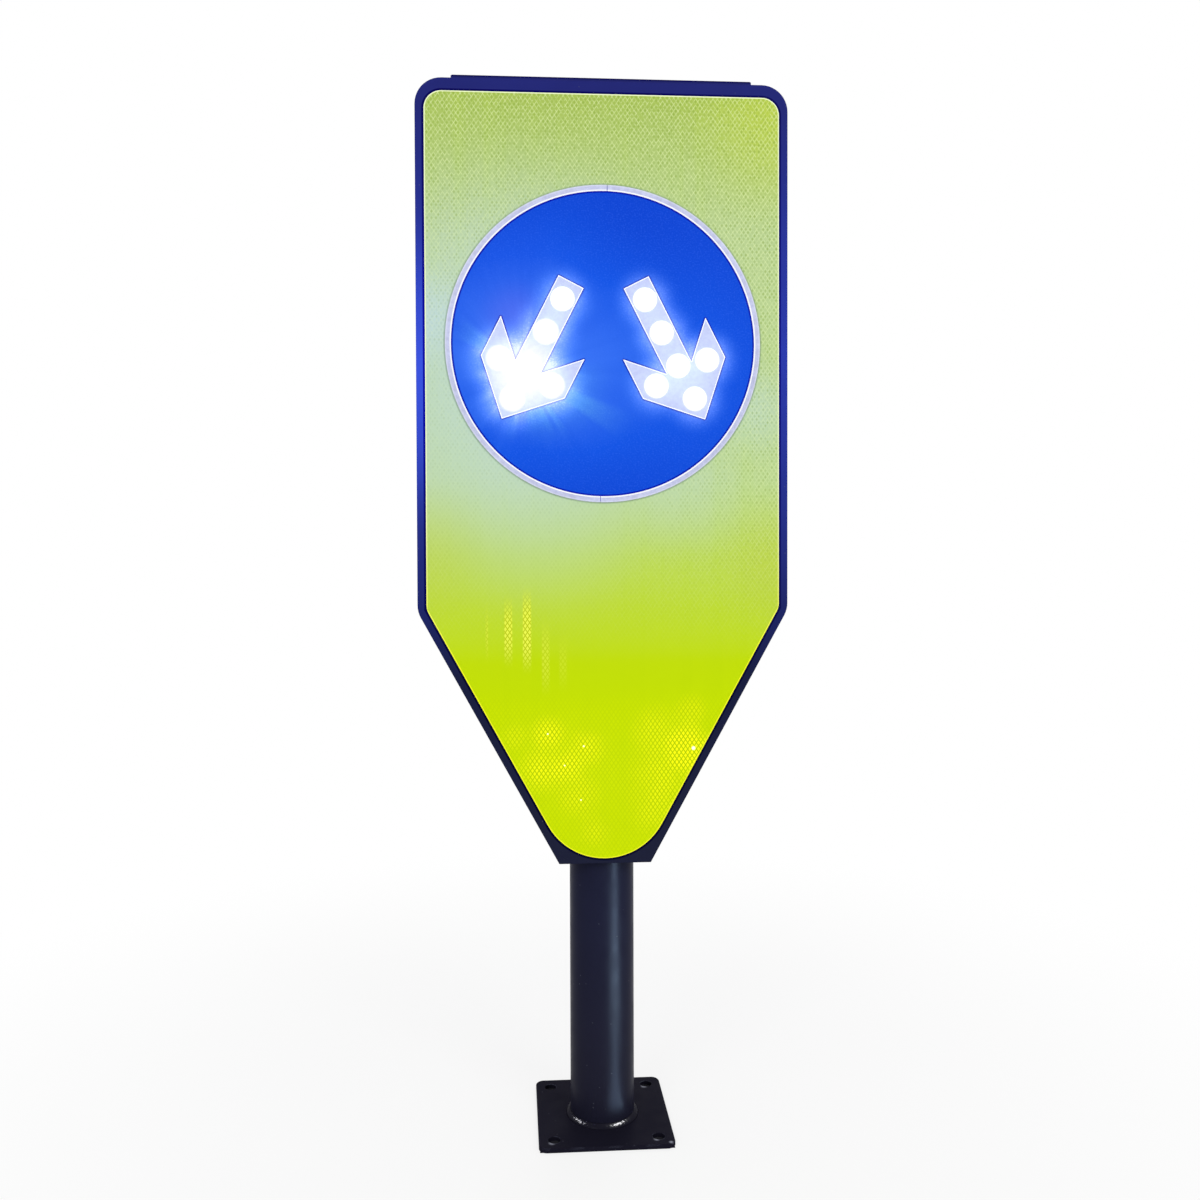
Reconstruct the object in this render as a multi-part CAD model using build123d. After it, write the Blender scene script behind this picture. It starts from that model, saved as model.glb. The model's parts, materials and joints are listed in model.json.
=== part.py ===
from build123d import *
import os
from math import atan2, cos, radians, sin, sqrt, tan

# Solar LED road sign: a flat cabinet with a reflective face and two lit arrows, on a post with a base.
# Sizes are in millimetres. X is to the right seen from the front, Y to the back, Z up.
# The origin is the middle of the base plate's underside, on the axis of the post.

# Post and base
POST_DIAMETER = 63.5
POST_WALL = 2.5
POST_TOP = 380.0
CAP_THICKNESS = 3.0
CAP_DEPTH = 12.0
CAP_CLEARANCE = 0.2
BASE_SIZE = 130.0
BASE_THICKNESS = 4.0
BASE_CORNER = 8.0
BASE_CHAMFER = 0.8
BASE_HOLE_SPACING = 100.0
BASE_HOLE_DIAMETER = 12.0
WELD_LEG = 5.0
WELD_CROWN = 0.6

# Cabinet outline
CABINET_WIDTH = 354.0
CABINET_TOP = 1009.0
SHOULDER = 508.0
CABINET_BOTTOM = 266.0
FOOT_WIDTH = 88.0
CORNER_RADIUS = 25.0
CABINET_DEPTH = 85.0

# Cabinet sheet metal, seals and fixings
SKIN = 2.0
RAIL_WALL = 2.0
RAIL_LIP = 14.0
RAIL_JOINT = 548.0
MITRE_HEIGHT = 21.0
SPLICE_HEIGHT = 50.0
SPLICE_DEPTH = 60.0
FRONT_SEAL = 1.0
REAR_SEAL = 1.5
FIXING_INSET = 7.0
FIXING_TOP_X = (38.0, 115.0)
FIXING_SIDE_Z = (600.0, 690.0, 780.0, 870.0, 960.0)
FIXING_LOWER_Z = (340.0, 435.0)
FIXING_FOOT_X = 30.0
STUD_DIAMETER = 4.0
STUD_LENGTH = 10.0
NUT_FLATS = 7.0
NUT_HEIGHT = 3.2
SCREW_SHANK = 3.9
SCREW_CLEARANCE = 4.5
SCREW_LENGTH = 12.0
SCREW_HEAD = 8.0
SCREW_HEAD_RIM = 1.2
SCREW_HEAD_CROWN = 1.5
SCREW_SOCKET = 2.5
RIVET_NUT_BODY = 6.2
RIVET_NUT_HEAD = 9.0
RIVET_NUT_RIM = 0.8
RIVET_NUT_LENGTH = 10.0

# Reflective face
FILM = 0.4
SHEET_BORDER = 8.5
SHEET_TOP_BORDER = 12.2
SHEET_NOSE_RADIUS = 62.5
DISC_CENTRE = 761.4
RING_DIAMETER = 300.0
RING_WIDTH = 5.75
RING_SEAM = 0.5
RING_SEAM_TURN = 1.4
DISC_FILM_DIAMETER = 298.0

# Arrows, measured from the tip backward along the axis and across it
ARROW_TURN = radians(27.0)
ARROW_TIP_X = 96.9
ARROW_TIP_DROP = 71.0
ARROW_HEAD = 44.3
ARROW_WING_END = 86.0
ARROW_SHAFT = 26.6
ARROW_LENGTH = 145.3

# Lamps and their wiring
LAMP_AXIS_COUNT = 4
LAMP_FIRST = 22.0
LAMP_PITCH = 35.0
LAMP_WING_BACK = 49.5
LAMP_WING_ACROSS = 27.4
LENS_DIAMETER = 22.0
LENS_RIM = 1.2
LENS_CROWN = 2.8
LAMP_BARREL = 19.0
LAMP_HOLE = 19.4
LAMP_BORE = 14.4
LAMP_BORE_FRONT = -42.0
LAMP_BACK = -28.0
LAMP_SEAL = 1.0
LAMP_NUT_FLATS = 23.0
LAMP_NUT_HEIGHT = 5.0
LAMP_BOARD_FRONT = -31.0
LAMP_BOARD = 1.6
LAMP_BOARD_DIAMETER = 14.0
EMITTER_DIAMETER = 6.0
EMITTER_HEIGHT = 3.0
LAMP_CAP_DIAMETER = 21.0
LAMP_CAP_RIM = 3.0
LAMP_NIPPLE = 7.0
LAMP_CAP_BACK = -20.0
HARNESS_Y = -16.0
HARNESS_DROP_X = 31.0
HARNESS_BEND_HIGH = 26.0
HARNESS_BEND_LOW = 4.0
HARNESS_RADII = (18.0, 14.0, 14.0)
CABLE_DIAMETER = 5.0
TRUNK_DIAMETER = 6.0
TAIL_DIAMETER = 3.5
CABLE_ENTRY = 4.0
CABLE_ENTRY_DEPTH = 14.0
SOLAR_CABLE_X = 45.0
BATTERY_CABLE_X = -35.0
SWITCH_CABLE_RISE = 14.0

# Post socket
POST_GAP = 0.3
SOCKET_WALL = 3.0
SOCKET_LID = 3.0
SET_SCREW_HEIGHTS = (302.0, 346.0)
SET_SCREW_DIAMETER = 7.9
SET_SCREW_TIP_GAP = 0.2
SET_SCREW_SOCKET = 4.0
SET_SCREW_SOCKET_DEPTH = 4.0
BOSS_DIAMETER = 16.0
BOSS_BORE = 8.0
BOSS_BACK = 38.5
GUSSET_THICKNESS = 3.0
GUSSET_TOP = 370.0
ACCESS_HOLE = 14.0
PLUG_HEAD = 18.0
PLUG_LIP = 15.0
PLUG_LIP_THICKNESS = 0.8
PLUG_RIM = 0.8
PLUG_CROWN = 1.4

# Rear hatch and its hinges
HATCH_CENTRE = 552.0
HATCH_WIDTH = 190.0
HATCH_HEIGHT = 200.0
HATCH_CORNER = 10.0
HATCH_OVERLAP = 14.0
HATCH_SEAL = 2.0
HATCH_SEAL_GAP = 0.2
HATCH_SEAL_INNER = 2.0
HATCH_SEAL_OUTER = 11.0
HINGE_X = -113.0
HINGE_Y = 46.0
HINGE_SPREAD = 70.0
HINGE_HEIGHT = 30.0
HINGE_LEAF = 1.5
HINGE_LEAF_WIDTH = 20.0
HINGE_KNUCKLE = 10.0
HINGE_GAP = 0.3
KNUCKLE_RADIUS = 3.2
KNUCKLE_CLEARANCE = 0.4
PIN_RADIUS = 1.5
PIN_FIT = 0.05
PIN_HEAD_RADIUS = 2.4
PIN_HEAD = 1.2

# Cam lock on the hatch
LOCK_X = 76.0
LOCK_BEZEL = 24.0
LOCK_BEZEL_HEIGHT = 3.0
LOCK_BARREL = 16.0
LOCK_BARREL_FRONT = 39.3
LOCK_BORE = 11.0
LOCK_PLUG = 10.8
LOCK_PLUG_RECESS = 0.3
LOCK_NUT_FLATS = 22.0
LOCK_NUT_HEIGHT = 4.0
KEY_SLOT_WIDTH = 1.6
KEY_SLOT_HEIGHT = 7.0
KEY_SLOT_DEPTH = 8.0
CAM_REACH = 34.0
CAM_WIDTH = 16.0
CAM_FRONT = 36.5
CAM_BACK = 39.0
CAM_BOLT_FLATS = 8.0
CAM_BOLT_HEIGHT = 3.0
CAM_TAIL = 7.0

# Push switch below the hatch
SWITCH_X = 60.0
SWITCH_Z = 412.0
SWITCH_FLANGE = 20.0
SWITCH_FLANGE_HEIGHT = 2.0
SWITCH_BEVEL = 0.5
SWITCH_BUSH = 15.8
SWITCH_HOLE = 16.2
SWITCH_BORE = 14.0
SWITCH_LIP = 3.0
SWITCH_BUSH_FRONT = 22.0
SWITCH_FLOOR = 2.0
SWITCH_TERMINAL = 12.0
SWITCH_TERMINAL_FRONT = 17.0
SWITCH_NUT_FLATS = 19.0
SWITCH_NUT_HEIGHT = 4.0
BUTTON_DIAMETER = 11.0
BUTTON_BEVEL = 0.8
BUTTON_FIT = 0.1
BUTTON_STAND = 3.0
BUTTON_TRAVEL = 2.5
BUTTON_COLLAR = 13.4
BUTTON_STOP_GAP = 0.3
BUTTON_LENGTH = 17.0

# Equipment behind the hatch
PLATE_HALF_WIDTH = 105.0
PLATE_LOW = 445.0
PLATE_HIGH = 660.0
PLATE_FRONT = -18.0
SPACER_X = 92.0
SPACER_INSET = 13.0
SPACER_FLATS = 8.0
PLATE_SCREW_HEAD = 7.0
PLATE_SCREW_HEIGHT = 2.4
PLATE_SCREW_END = 2.0
CELL_COUNT = 4
CELL_DIAMETER = 32.5
CELL_LENGTH = 70.0
CELL_PITCH = 33.2
CELL_LOW = 468.0
CELL_CLEARANCE = 0.25
HOLDER_GRIP = 6.0
HOLDER_FLOOR = 6.0
HOLDER_HALF_WIDTH = 68.0
HOLDER_DEPTH = 36.0
HOLDER_STANDOFF = 1.0
STRAP_HALF_WIDTH = 15.0
STRAP = 1.5
STRAP_FOOT = 13.0
CONTROLLER_HALF_WIDTH = 55.0
CONTROLLER_LOW = 575.0
CONTROLLER_HIGH = 635.0
CONTROLLER_DEPTH = 22.0
CONTROLLER_WALL = 2.0
CONTROLLER_LID = 3.0
CONTROLLER_FOOT = 10.0
CONTROLLER_FOOT_HEIGHT = 16.0
BOARD_STANDOFF = 5.0
BOARD = 1.6
BOARD_MARGIN = 3.0
BOARD_POST_DIAMETER = 6.0
BOARD_POST_INSET = 9.0

# Parts on the controller's board: size across, up and off the board, then place from the board's middle
TERMINAL_SIZE = (40.0, 8.0, 6.0)
TERMINAL_PLACE = (-4.0, -21.0)
COIL_DIAMETER = 14.0
COIL_BORE = 5.0
COIL_HEIGHT = 6.0
COIL_PLACE = (-14.0, 2.0)
CAPACITOR_DIAMETER = 8.0
CAPACITOR_HEIGHT = 11.0
CAPACITOR_PLACES = ((6.0, 3.0), (16.0, 3.0))
SINK_SIZE = (18.0, 16.0, 10.0)
SINK_PLACE = (35.0, -4.0)
SINK_FLOOR = 3.0
SINK_SLOT = 2.0
SINK_SLOT_PITCH = 4.5
CHIP_SIZE = (7.0, 9.0, 1.6)
CHIP_PLACES = ((-40.5, 1.5), (-30.5, 1.5))

# Solar module on the roof
SOLAR_HALF_LENGTH = 143.7
SOLAR_HALF_DEPTH = 34.5
SOLAR_HEIGHT = 6.2
SOLAR_BORDER = 6.0
SOLAR_CORNER = 1.5
SOLAR_GAP = 0.2
SOLAR_BOARD = 3.2
SOLAR_CELL = 0.3
SOLAR_GLASS = 2.4
SOLAR_CELL_COUNT = 10
SOLAR_CELL_GAP = 1.2
SOLAR_CELL_MARGIN = 2.5
SOLAR_SCREW_Y = 20.0
SOLAR_SCREW_SHANK = 2.9
SOLAR_SCREW_HEAD = 5.6
SOLAR_SCREW_CONE = 1.7
SOLAR_SCREW_LENGTH = 12.0
SOLAR_SCREW_SOCKET = 2.0
SOLAR_SCREW_SOCKET_DEPTH = 1.0
GROMMET_X = 120.0
GROMMET_NECK = 12.0
GROMMET_FLANGE = 16.0
GROMMET_RIM = 1.5
GROMMET_TAIL = 9.0
GROMMET_TAIL_LENGTH = 4.5

# Levels worked out from the sizes above
FRONT = -CABINET_DEPTH / 2
BACK = CABINET_DEPTH / 2
PANEL_REAR = FRONT + SKIN
RAIL_FRONT = PANEL_REAR + FRONT_SEAL
COVER_FRONT = BACK - SKIN
RAIL_BACK = COVER_FRONT - REAR_SEAL
SHEET_FACE = FRONT - FILM
DISC_FACE = SHEET_FACE - FILM
ARROW_FACE = DISC_FACE - FILM
DOOR_FRONT = BACK + HATCH_SEAL
DOOR_BACK = DOOR_FRONT + SKIN
PLATE_REAR = PLATE_FRONT + SKIN
HOLDER_FRONT = PLATE_REAR + HOLDER_STANDOFF
CELL_Y = HOLDER_FRONT + HOLDER_DEPTH / 2
PACK_BACK = HOLDER_FRONT + HOLDER_DEPTH
PACK_LOW = CELL_LOW - HOLDER_FLOOR
PACK_HIGH = CELL_LOW + CELL_LENGTH + HOLDER_FLOOR
CONTROLLER_REAR = PLATE_REAR + CONTROLLER_DEPTH
CONTROLLER_CABLE_Y = PLATE_REAR + CABLE_ENTRY_DEPTH
CONTROLLER_MIDDLE = (CONTROLLER_LOW + CONTROLLER_HIGH) / 2
BOARD_FACE = PLATE_REAR + BOARD_STANDOFF + BOARD
POST_RADIUS = POST_DIAMETER / 2
SOCKET_RADIUS = POST_RADIUS + POST_GAP
SOCKET_TOP = POST_TOP + CAP_THICKNESS + POST_GAP
ROOF_INSIDE = CABINET_TOP - RAIL_WALL
LEAN = atan2((CABINET_WIDTH - FOOT_WIDTH) / 2, SHOULDER - CABINET_BOTTOM)


# Helpers

def slab(sketch, y_front, y_back):
    """A sketch drawn in X and Z, thickened from y_front to y_back."""
    plane = Plane(origin=(0, y_back, 0), x_dir=(1, 0, 0), z_dir=(0, -1, 0))
    return extrude(plane * sketch, amount=y_back - y_front)


def rod(x, z, diameter, y_front, y_back):
    """A round rod along Y."""
    return slab(Pos(x, z) * Circle(diameter / 2), y_front, y_back)


def hexagon(x, z, across_flats, y_front, y_back):
    """A hexagonal rod along Y."""
    return slab(Pos(x, z) * RegularPolygon(across_flats / 2, 6, major_radius=False), y_front, y_back)


def block(x_range, y_range, z_range):
    """A box between its limits."""
    size = [high - low for low, high in (x_range, y_range, z_range)]
    corner = Pos(x_range[0], y_range[0], z_range[0])
    return corner * Box(*size, align=(Align.MIN, Align.MIN, Align.MIN))


def turned(*lines):
    """A solid turned about the Y axis; the profile's points are (radius, y)."""
    return revolve(make_face(lines), axis=Axis.Y)


def upright(*lines):
    """A solid turned about the Z axis; the profile's points are (radius, z)."""
    return revolve(Plane.XZ * make_face(lines), axis=Axis.Z)


def crown(radius, y_rim, rise):
    """The arc of a shallow dome, from its top on the axis to its rim; rise is along Y."""
    sphere = (radius ** 2 + rise ** 2) / (2 * abs(rise))
    sag = sphere - sqrt(sphere ** 2 - radius ** 2 / 4)
    top = y_rim + rise
    middle = top - sag if rise > 0 else top + sag
    return ThreePointArc((0, top), (radius / 2, middle), (radius, y_rim))


def placed(points, shape):
    """Copies of a shape at each (x, z) point."""
    return [Pos(x, 0, z) * shape for x, z in points]


def cable(path, diameter=CABLE_DIAMETER):
    """A round cable along a path of straight runs and arcs."""
    section = Plane(origin=path @ 0, z_dir=path % 0) * Circle(diameter / 2)
    return sweep(section, path=path)


def save(name, *shapes):
    """Write one node, with each of its solids apart."""
    solids = [solid for shape in shapes for solid in shape.solids()]
    export_step(Compound(solids), f"parts/{name}.step")


# Outlines and positions

def lower_side(z, inset=0.0):
    """Half the cabinet's width at a height in its tapering lower part."""
    return CABINET_WIDTH / 2 - (SHOULDER - z) * tan(LEAN) - inset / cos(LEAN)


def cabinet_outline(inset=0.0):
    """The shield outline, moved inward; the two corners at the foot stay sharp."""
    side = CABINET_WIDTH / 2 - inset
    foot = CABINET_BOTTOM + inset
    right = [
        (side, CABINET_TOP - inset),
        (side, SHOULDER + inset * tan(LEAN / 2)),
        (lower_side(foot, inset), foot),
    ]
    left = [(-x, z) for x, z in reversed(right)]
    face = make_face(Polyline(*right, *left, close=True))
    return fillet(face.vertices().sort_by(Axis.Y)[2:], CORNER_RADIUS - inset)


def edge_ring(width):
    """A band of even width along the shield outline."""
    return cabinet_outline() - cabinet_outline(width)


def sheet_outline():
    """The reflective sheet: an even border inside the shield and a round nose at the bottom."""
    side = CABINET_WIDTH / 2 - SHEET_BORDER
    top = CABINET_TOP - SHEET_TOP_BORDER
    shoulder = SHOULDER + SHEET_BORDER * tan(LEAN / 2)
    apex = SHOULDER - (CABINET_WIDTH / 2 - SHEET_BORDER / cos(LEAN)) / tan(LEAN)
    points = [(side, top), (side, shoulder), (0, apex), (-side, shoulder), (-side, top)]
    face = make_face(Polyline(*points, close=True))
    face = fillet(face.vertices().sort_by(Axis.Y)[1:], CORNER_RADIUS - SHEET_BORDER)
    return fillet(face.vertices().sort_by(Axis.Y)[0], SHEET_NOSE_RADIUS)


def arrow_point(side, back, across):
    """A point on an arrow, by its distance back from the tip and across the axis."""
    x = ARROW_TIP_X - back * sin(ARROW_TURN) + across * cos(ARROW_TURN)
    z = DISC_CENTRE - ARROW_TIP_DROP + back * cos(ARROW_TURN) + across * sin(ARROW_TURN)
    return side * x, z


def arrow_outline(side):
    """An arrow with a 45 degree head, wings cut back at 45 degrees and a straight shaft."""
    half = ARROW_SHAFT / 2
    notch = ARROW_WING_END - (ARROW_HEAD - half)
    edge = [(ARROW_HEAD, ARROW_HEAD), (ARROW_WING_END, ARROW_HEAD), (notch, half), (ARROW_LENGTH, half)]
    mirrored = [(back, -across) for back, across in reversed(edge)]
    points = [arrow_point(side, back, across) for back, across in [(0, 0)] + edge + mirrored]
    return make_face(Polyline(*points, close=True))


def lamp_points(side):
    """The six lamps of one arrow: four along its axis and one on each wing."""
    axis = [(LAMP_FIRST + i * LAMP_PITCH, 0) for i in range(LAMP_AXIS_COUNT)]
    wings = [(LAMP_WING_BACK, LAMP_WING_ACROSS), (LAMP_WING_BACK, -LAMP_WING_ACROSS)]
    return [arrow_point(side, back, across) for back, across in axis + wings]


def fixing_points():
    """The fixings around the cabinet's edge, on the middle of the rails' lips."""
    side = CABINET_WIDTH / 2 - FIXING_INSET
    top = CABINET_TOP - FIXING_INSET
    right = [(x, top) for x in FIXING_TOP_X]
    right += [(side, z) for z in FIXING_SIDE_Z]
    right += [(lower_side(z, FIXING_INSET), z) for z in FIXING_LOWER_Z]
    right += [(FIXING_FOOT_X, CABINET_BOTTOM + FIXING_INSET)]
    return right + [(-x, z) for x, z in right]


def hatch_outline(overlap=0.0):
    """The hatch opening, or a larger rounded rectangle over it."""
    width = HATCH_WIDTH + 2 * overlap
    height = HATCH_HEIGHT + 2 * overlap
    return Pos(0, HATCH_CENTRE) * RectangleRounded(width, height, HATCH_CORNER)


LAMPS = lamp_points(-1) + lamp_points(1)
FIXINGS = fixing_points()
SPACER_LEVELS = (PLATE_LOW + SPACER_INSET, PLATE_HIGH - SPACER_INSET)
SPACERS = [(x, z) for x in (-SPACER_X, SPACER_X) for z in SPACER_LEVELS]
STRAP_FEET = [(0.0, PACK_LOW - STRAP_FOOT / 2 - STRAP), (0.0, PACK_HIGH + STRAP_FOOT / 2 + STRAP)]
CONTROLLER_FOOT_X = CONTROLLER_HALF_WIDTH + CONTROLLER_FOOT / 2
CONTROLLER_FEET = [(x, CONTROLLER_MIDDLE) for x in (-CONTROLLER_FOOT_X, CONTROLLER_FOOT_X)]
SET_SCREWS = [(0.0, z) for z in SET_SCREW_HEIGHTS]


def lamp_holes():
    return [Pos(x, z) * Circle(LAMP_HOLE / 2) for x, z in LAMPS]


# Post

def base_plate():
    half = BASE_HOLE_SPACING / 2
    hole = Circle(BASE_HOLE_DIAMETER / 2)
    holes = [Pos(x, y) * hole for x in (-half, half) for y in (-half, half)]
    plate = extrude(RectangleRounded(BASE_SIZE, BASE_SIZE, BASE_CORNER) - holes, amount=BASE_THICKNESS)
    rim = plate.faces().sort_by(Axis.Z)[-1].outer_wire().edges()
    return chamfer(rim, BASE_CHAMFER)


def post_tube():
    ring = Circle(POST_RADIUS) - Circle(POST_RADIUS - POST_WALL)
    return Pos(0, 0, BASE_THICKNESS) * extrude(ring, amount=POST_TOP - BASE_THICKNESS)


def base_weld():
    """A convex fillet weld around the foot of the tube."""
    reach = WELD_CROWN * WELD_LEG
    toe = (POST_RADIUS + WELD_LEG, BASE_THICKNESS)
    root = (POST_RADIUS, BASE_THICKNESS)
    top = (POST_RADIUS, BASE_THICKNESS + WELD_LEG)
    bead = ThreePointArc(toe, (POST_RADIUS + reach, BASE_THICKNESS + reach), top)
    return upright(Polyline(top, root, toe), bead)


def post_cap():
    """A plastic plug that closes the top of the tube."""
    spigot = POST_RADIUS - POST_WALL - CAP_CLEARANCE
    low = POST_TOP - CAP_DEPTH
    high = POST_TOP + CAP_THICKNESS
    plug = [(0, low), (spigot, low), (spigot, POST_TOP)]
    lid = [(POST_RADIUS, POST_TOP), (POST_RADIUS, high), (0, high)]
    return upright(Polyline(*plug, *lid, close=True))


# Cabinet

def front_panel():
    """The face plate, with a hole for each lamp."""
    return slab(cabinet_outline() - lamp_holes(), FRONT, PANEL_REAR)


def panel_studs():
    """Blind studs welded around the panel's edge, and threaded spacers for the mounting plate."""
    stud = rod(0, 0, STUD_DIAMETER, PANEL_REAR, PANEL_REAR + STUD_LENGTH)
    spacer = hexagon(0, 0, SPACER_FLATS, PANEL_REAR, PLATE_FRONT)
    spacer -= rod(0, 0, STUD_DIAMETER, PLATE_FRONT - STUD_LENGTH, PLATE_FRONT)
    return placed(FIXINGS, stud) + placed(SPACERS, spacer)


def front_seal():
    holes = [Pos(x, z) * Circle(SCREW_CLEARANCE / 2) for x, z in FIXINGS]
    return slab(edge_ring(RAIL_LIP) - holes, PANEL_REAR, RAIL_FRONT)


def front_nuts():
    low = RAIL_FRONT + RAIL_WALL
    high = low + NUT_HEIGHT
    return placed(FIXINGS, hexagon(0, 0, NUT_FLATS, low, high) - rod(0, 0, STUD_DIAMETER, low, high))


def rail_band():
    """The C-channel all the way around the cabinet, with its holes."""
    front_lip = (RAIL_FRONT, RAIL_FRONT + RAIL_WALL)
    back_lip = (RAIL_BACK - RAIL_WALL, RAIL_BACK)
    band = slab(edge_ring(RAIL_WALL), RAIL_FRONT, RAIL_BACK)
    band += slab(edge_ring(RAIL_LIP), *front_lip)
    band += slab(edge_ring(RAIL_LIP), *back_lip)
    band -= [rod(x, z, SCREW_CLEARANCE, *front_lip) for x, z in FIXINGS]
    band -= [rod(x, z, RIVET_NUT_BODY, *back_lip) for x, z in FIXINGS]
    return band


def floor_wedge():
    """The space between the two mitre cuts at the cabinet's foot."""
    half = FOOT_WIDTH / 2
    run = MITRE_HEIGHT * tan(radians(45) - LEAN / 2)
    low = CABINET_BOTTOM
    high = low + MITRE_HEIGHT
    points = [(-half, low), (half, low), (half - run, high), (run - half, high)]
    return slab(make_face(Polyline(*points, close=True)), RAIL_FRONT, RAIL_BACK)


def upper_rail(band):
    """The arched part of the channel, with holes for the solar module's screws and cable."""
    rail = split(band, bisect_by=Plane.XY.offset(RAIL_JOINT), keep=Keep.TOP)
    roof = Pos(0, 0, ROOF_INSIDE)
    for x, y in solar_screw_points():
        rail -= roof * Pos(x, y) * extrude(Circle(SOLAR_SCREW_SHANK / 2), amount=RAIL_WALL)
    return rail - roof * Pos(GROMMET_X, 0) * extrude(Circle(GROMMET_NECK / 2), amount=RAIL_WALL)


def lower_rails(band):
    """The two bent side channels below the joint."""
    return split(band, bisect_by=Plane.XY.offset(RAIL_JOINT), keep=Keep.BOTTOM) - floor_wedge()


def floor_rail(band):
    """The bottom channel, with the hole that the post goes through."""
    hole = Pos(0, 0, CABINET_BOTTOM) * extrude(Circle(SOCKET_RADIUS), amount=RAIL_WALL)
    return (band & floor_wedge()) - hole


def splice_plates():
    """A backing plate inside each joint of the side channels."""
    outer = CABINET_WIDTH / 2 - RAIL_WALL
    z_range = (RAIL_JOINT - SPLICE_HEIGHT / 2, RAIL_JOINT + SPLICE_HEIGHT / 2)
    plate = block((outer - SKIN, outer), (-SPLICE_DEPTH / 2, SPLICE_DEPTH / 2), z_range)
    return [plate, mirror(plate, Plane.YZ)]


def rear_gasket():
    holes = [Pos(x, z) * Circle(RIVET_NUT_HEAD / 2) for x, z in FIXINGS]
    return slab(edge_ring(RAIL_LIP) - holes, RAIL_BACK, COVER_FRONT)


def rear_cover():
    """The back plate, with the hatch opening and holes for the screws, plugs and switch."""
    face = cabinet_outline() - hatch_outline()
    face -= [Pos(x, z) * Circle(SCREW_CLEARANCE / 2) for x, z in FIXINGS]
    face -= [Pos(x, z) * Circle(ACCESS_HOLE / 2) for x, z in SET_SCREWS]
    face -= Pos(SWITCH_X, SWITCH_Z) * Circle(SWITCH_HOLE / 2)
    return slab(face, COVER_FRONT, BACK)


def cover_screws():
    """Button head screws with a hexagon socket."""
    radius = SCREW_HEAD / 2
    rim = BACK + SCREW_HEAD_RIM
    tip = BACK - SCREW_LENGTH
    shank = SCREW_SHANK / 2
    top = rim + SCREW_HEAD_CROWN
    profile = Polyline((radius, rim), (radius, BACK), (shank, BACK), (shank, tip), (0, tip), (0, top))
    screw = turned(profile, crown(radius, rim, SCREW_HEAD_CROWN))
    socket = hexagon(0, 0, SCREW_SOCKET, BACK + SCREW_HEAD_RIM / 2, top)
    return placed(FIXINGS, screw - socket)


def rivet_nuts():
    nut = rod(0, 0, RIVET_NUT_HEAD, RAIL_BACK, RAIL_BACK + RIVET_NUT_RIM)
    nut += rod(0, 0, RIVET_NUT_BODY, RAIL_BACK - RIVET_NUT_LENGTH, RAIL_BACK)
    nut -= rod(0, 0, STUD_DIAMETER, RAIL_BACK - RIVET_NUT_LENGTH, RAIL_BACK + RIVET_NUT_RIM)
    return placed(FIXINGS, nut)


# Post socket

def post_socket():
    """A closed sleeve over the top of the post, with two threaded bosses at its back."""
    outer = SOCKET_RADIUS + SOCKET_WALL
    low = CABINET_BOTTOM + RAIL_WALL
    lid = SOCKET_TOP + SOCKET_LID
    outside = [(SOCKET_RADIUS, low), (outer, low), (outer, lid), (0, lid)]
    inside = [(0, SOCKET_TOP), (SOCKET_RADIUS, SOCKET_TOP)]
    sleeve = upright(Polyline(*outside, *inside, close=True))
    bosses = [rod(x, z, BOSS_DIAMETER, SOCKET_RADIUS + SOCKET_WALL / 2, BOSS_BACK) for x, z in SET_SCREWS]
    bores = [rod(x, z, BOSS_BORE, 0, BOSS_BACK) for x, z in SET_SCREWS]
    bore = Pos(0, 0, low) * extrude(Circle(SOCKET_RADIUS), amount=SOCKET_TOP - low)
    return sleeve + bosses - bores - bore


def socket_gussets():
    """Two plates that tie the sleeve to the sloping side channels."""
    inner = SOCKET_RADIUS + SOCKET_WALL
    low = CABINET_BOTTOM + RAIL_WALL + RAIL_LIP
    sleeve_edge = [(inner, GUSSET_TOP), (inner, low)]
    rail_edge = [(lower_side(z, RAIL_WALL), z) for z in (low, GUSSET_TOP)]
    face = make_face(Polyline(*sleeve_edge, *rail_edge, close=True))
    plate = slab(face, -GUSSET_THICKNESS / 2, GUSSET_THICKNESS / 2)
    return [plate, mirror(plate, Plane.YZ)]


def set_screws():
    """Grub screws that hold the sleeve on the post."""
    screw = rod(0, 0, SET_SCREW_DIAMETER, POST_RADIUS + SET_SCREW_TIP_GAP, BOSS_BACK)
    screw -= hexagon(0, 0, SET_SCREW_SOCKET, BOSS_BACK - SET_SCREW_SOCKET_DEPTH, BOSS_BACK)
    return placed(SET_SCREWS, screw)


def access_plugs():
    """Rubber plugs over the holes that reach the grub screws."""
    head = PLUG_HEAD / 2
    stem = ACCESS_HOLE / 2
    lip = PLUG_LIP / 2
    rim = BACK + PLUG_RIM
    inside = COVER_FRONT - PLUG_LIP_THICKNESS
    cap = [(head, rim), (head, BACK), (stem, BACK), (stem, COVER_FRONT)]
    catch = [(lip, COVER_FRONT), (lip, inside), (0, inside)]
    profile = Polyline(*cap, *catch, (0, rim + PLUG_CROWN))
    return placed(SET_SCREWS, turned(profile, crown(head, rim, PLUG_CROWN)))


# Face

def reflective_sheet():
    return slab(sheet_outline() - lamp_holes(), SHEET_FACE, FRONT)


def disc_film():
    disc = Pos(0, DISC_CENTRE) * Circle(DISC_FILM_DIAMETER / 2)
    return slab(disc - lamp_holes(), DISC_FACE, SHEET_FACE)


def ring_film():
    """The white ring, in two halves with a seam at the top and the bottom."""
    ring = Circle(RING_DIAMETER / 2) - Circle(RING_DIAMETER / 2 - RING_WIDTH)
    seam = Rot(0, 0, -RING_SEAM_TURN) * Rectangle(RING_SEAM, 2 * RING_DIAMETER)
    return slab(Pos(0, DISC_CENTRE) * (ring - seam), ARROW_FACE, DISC_FACE)


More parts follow.
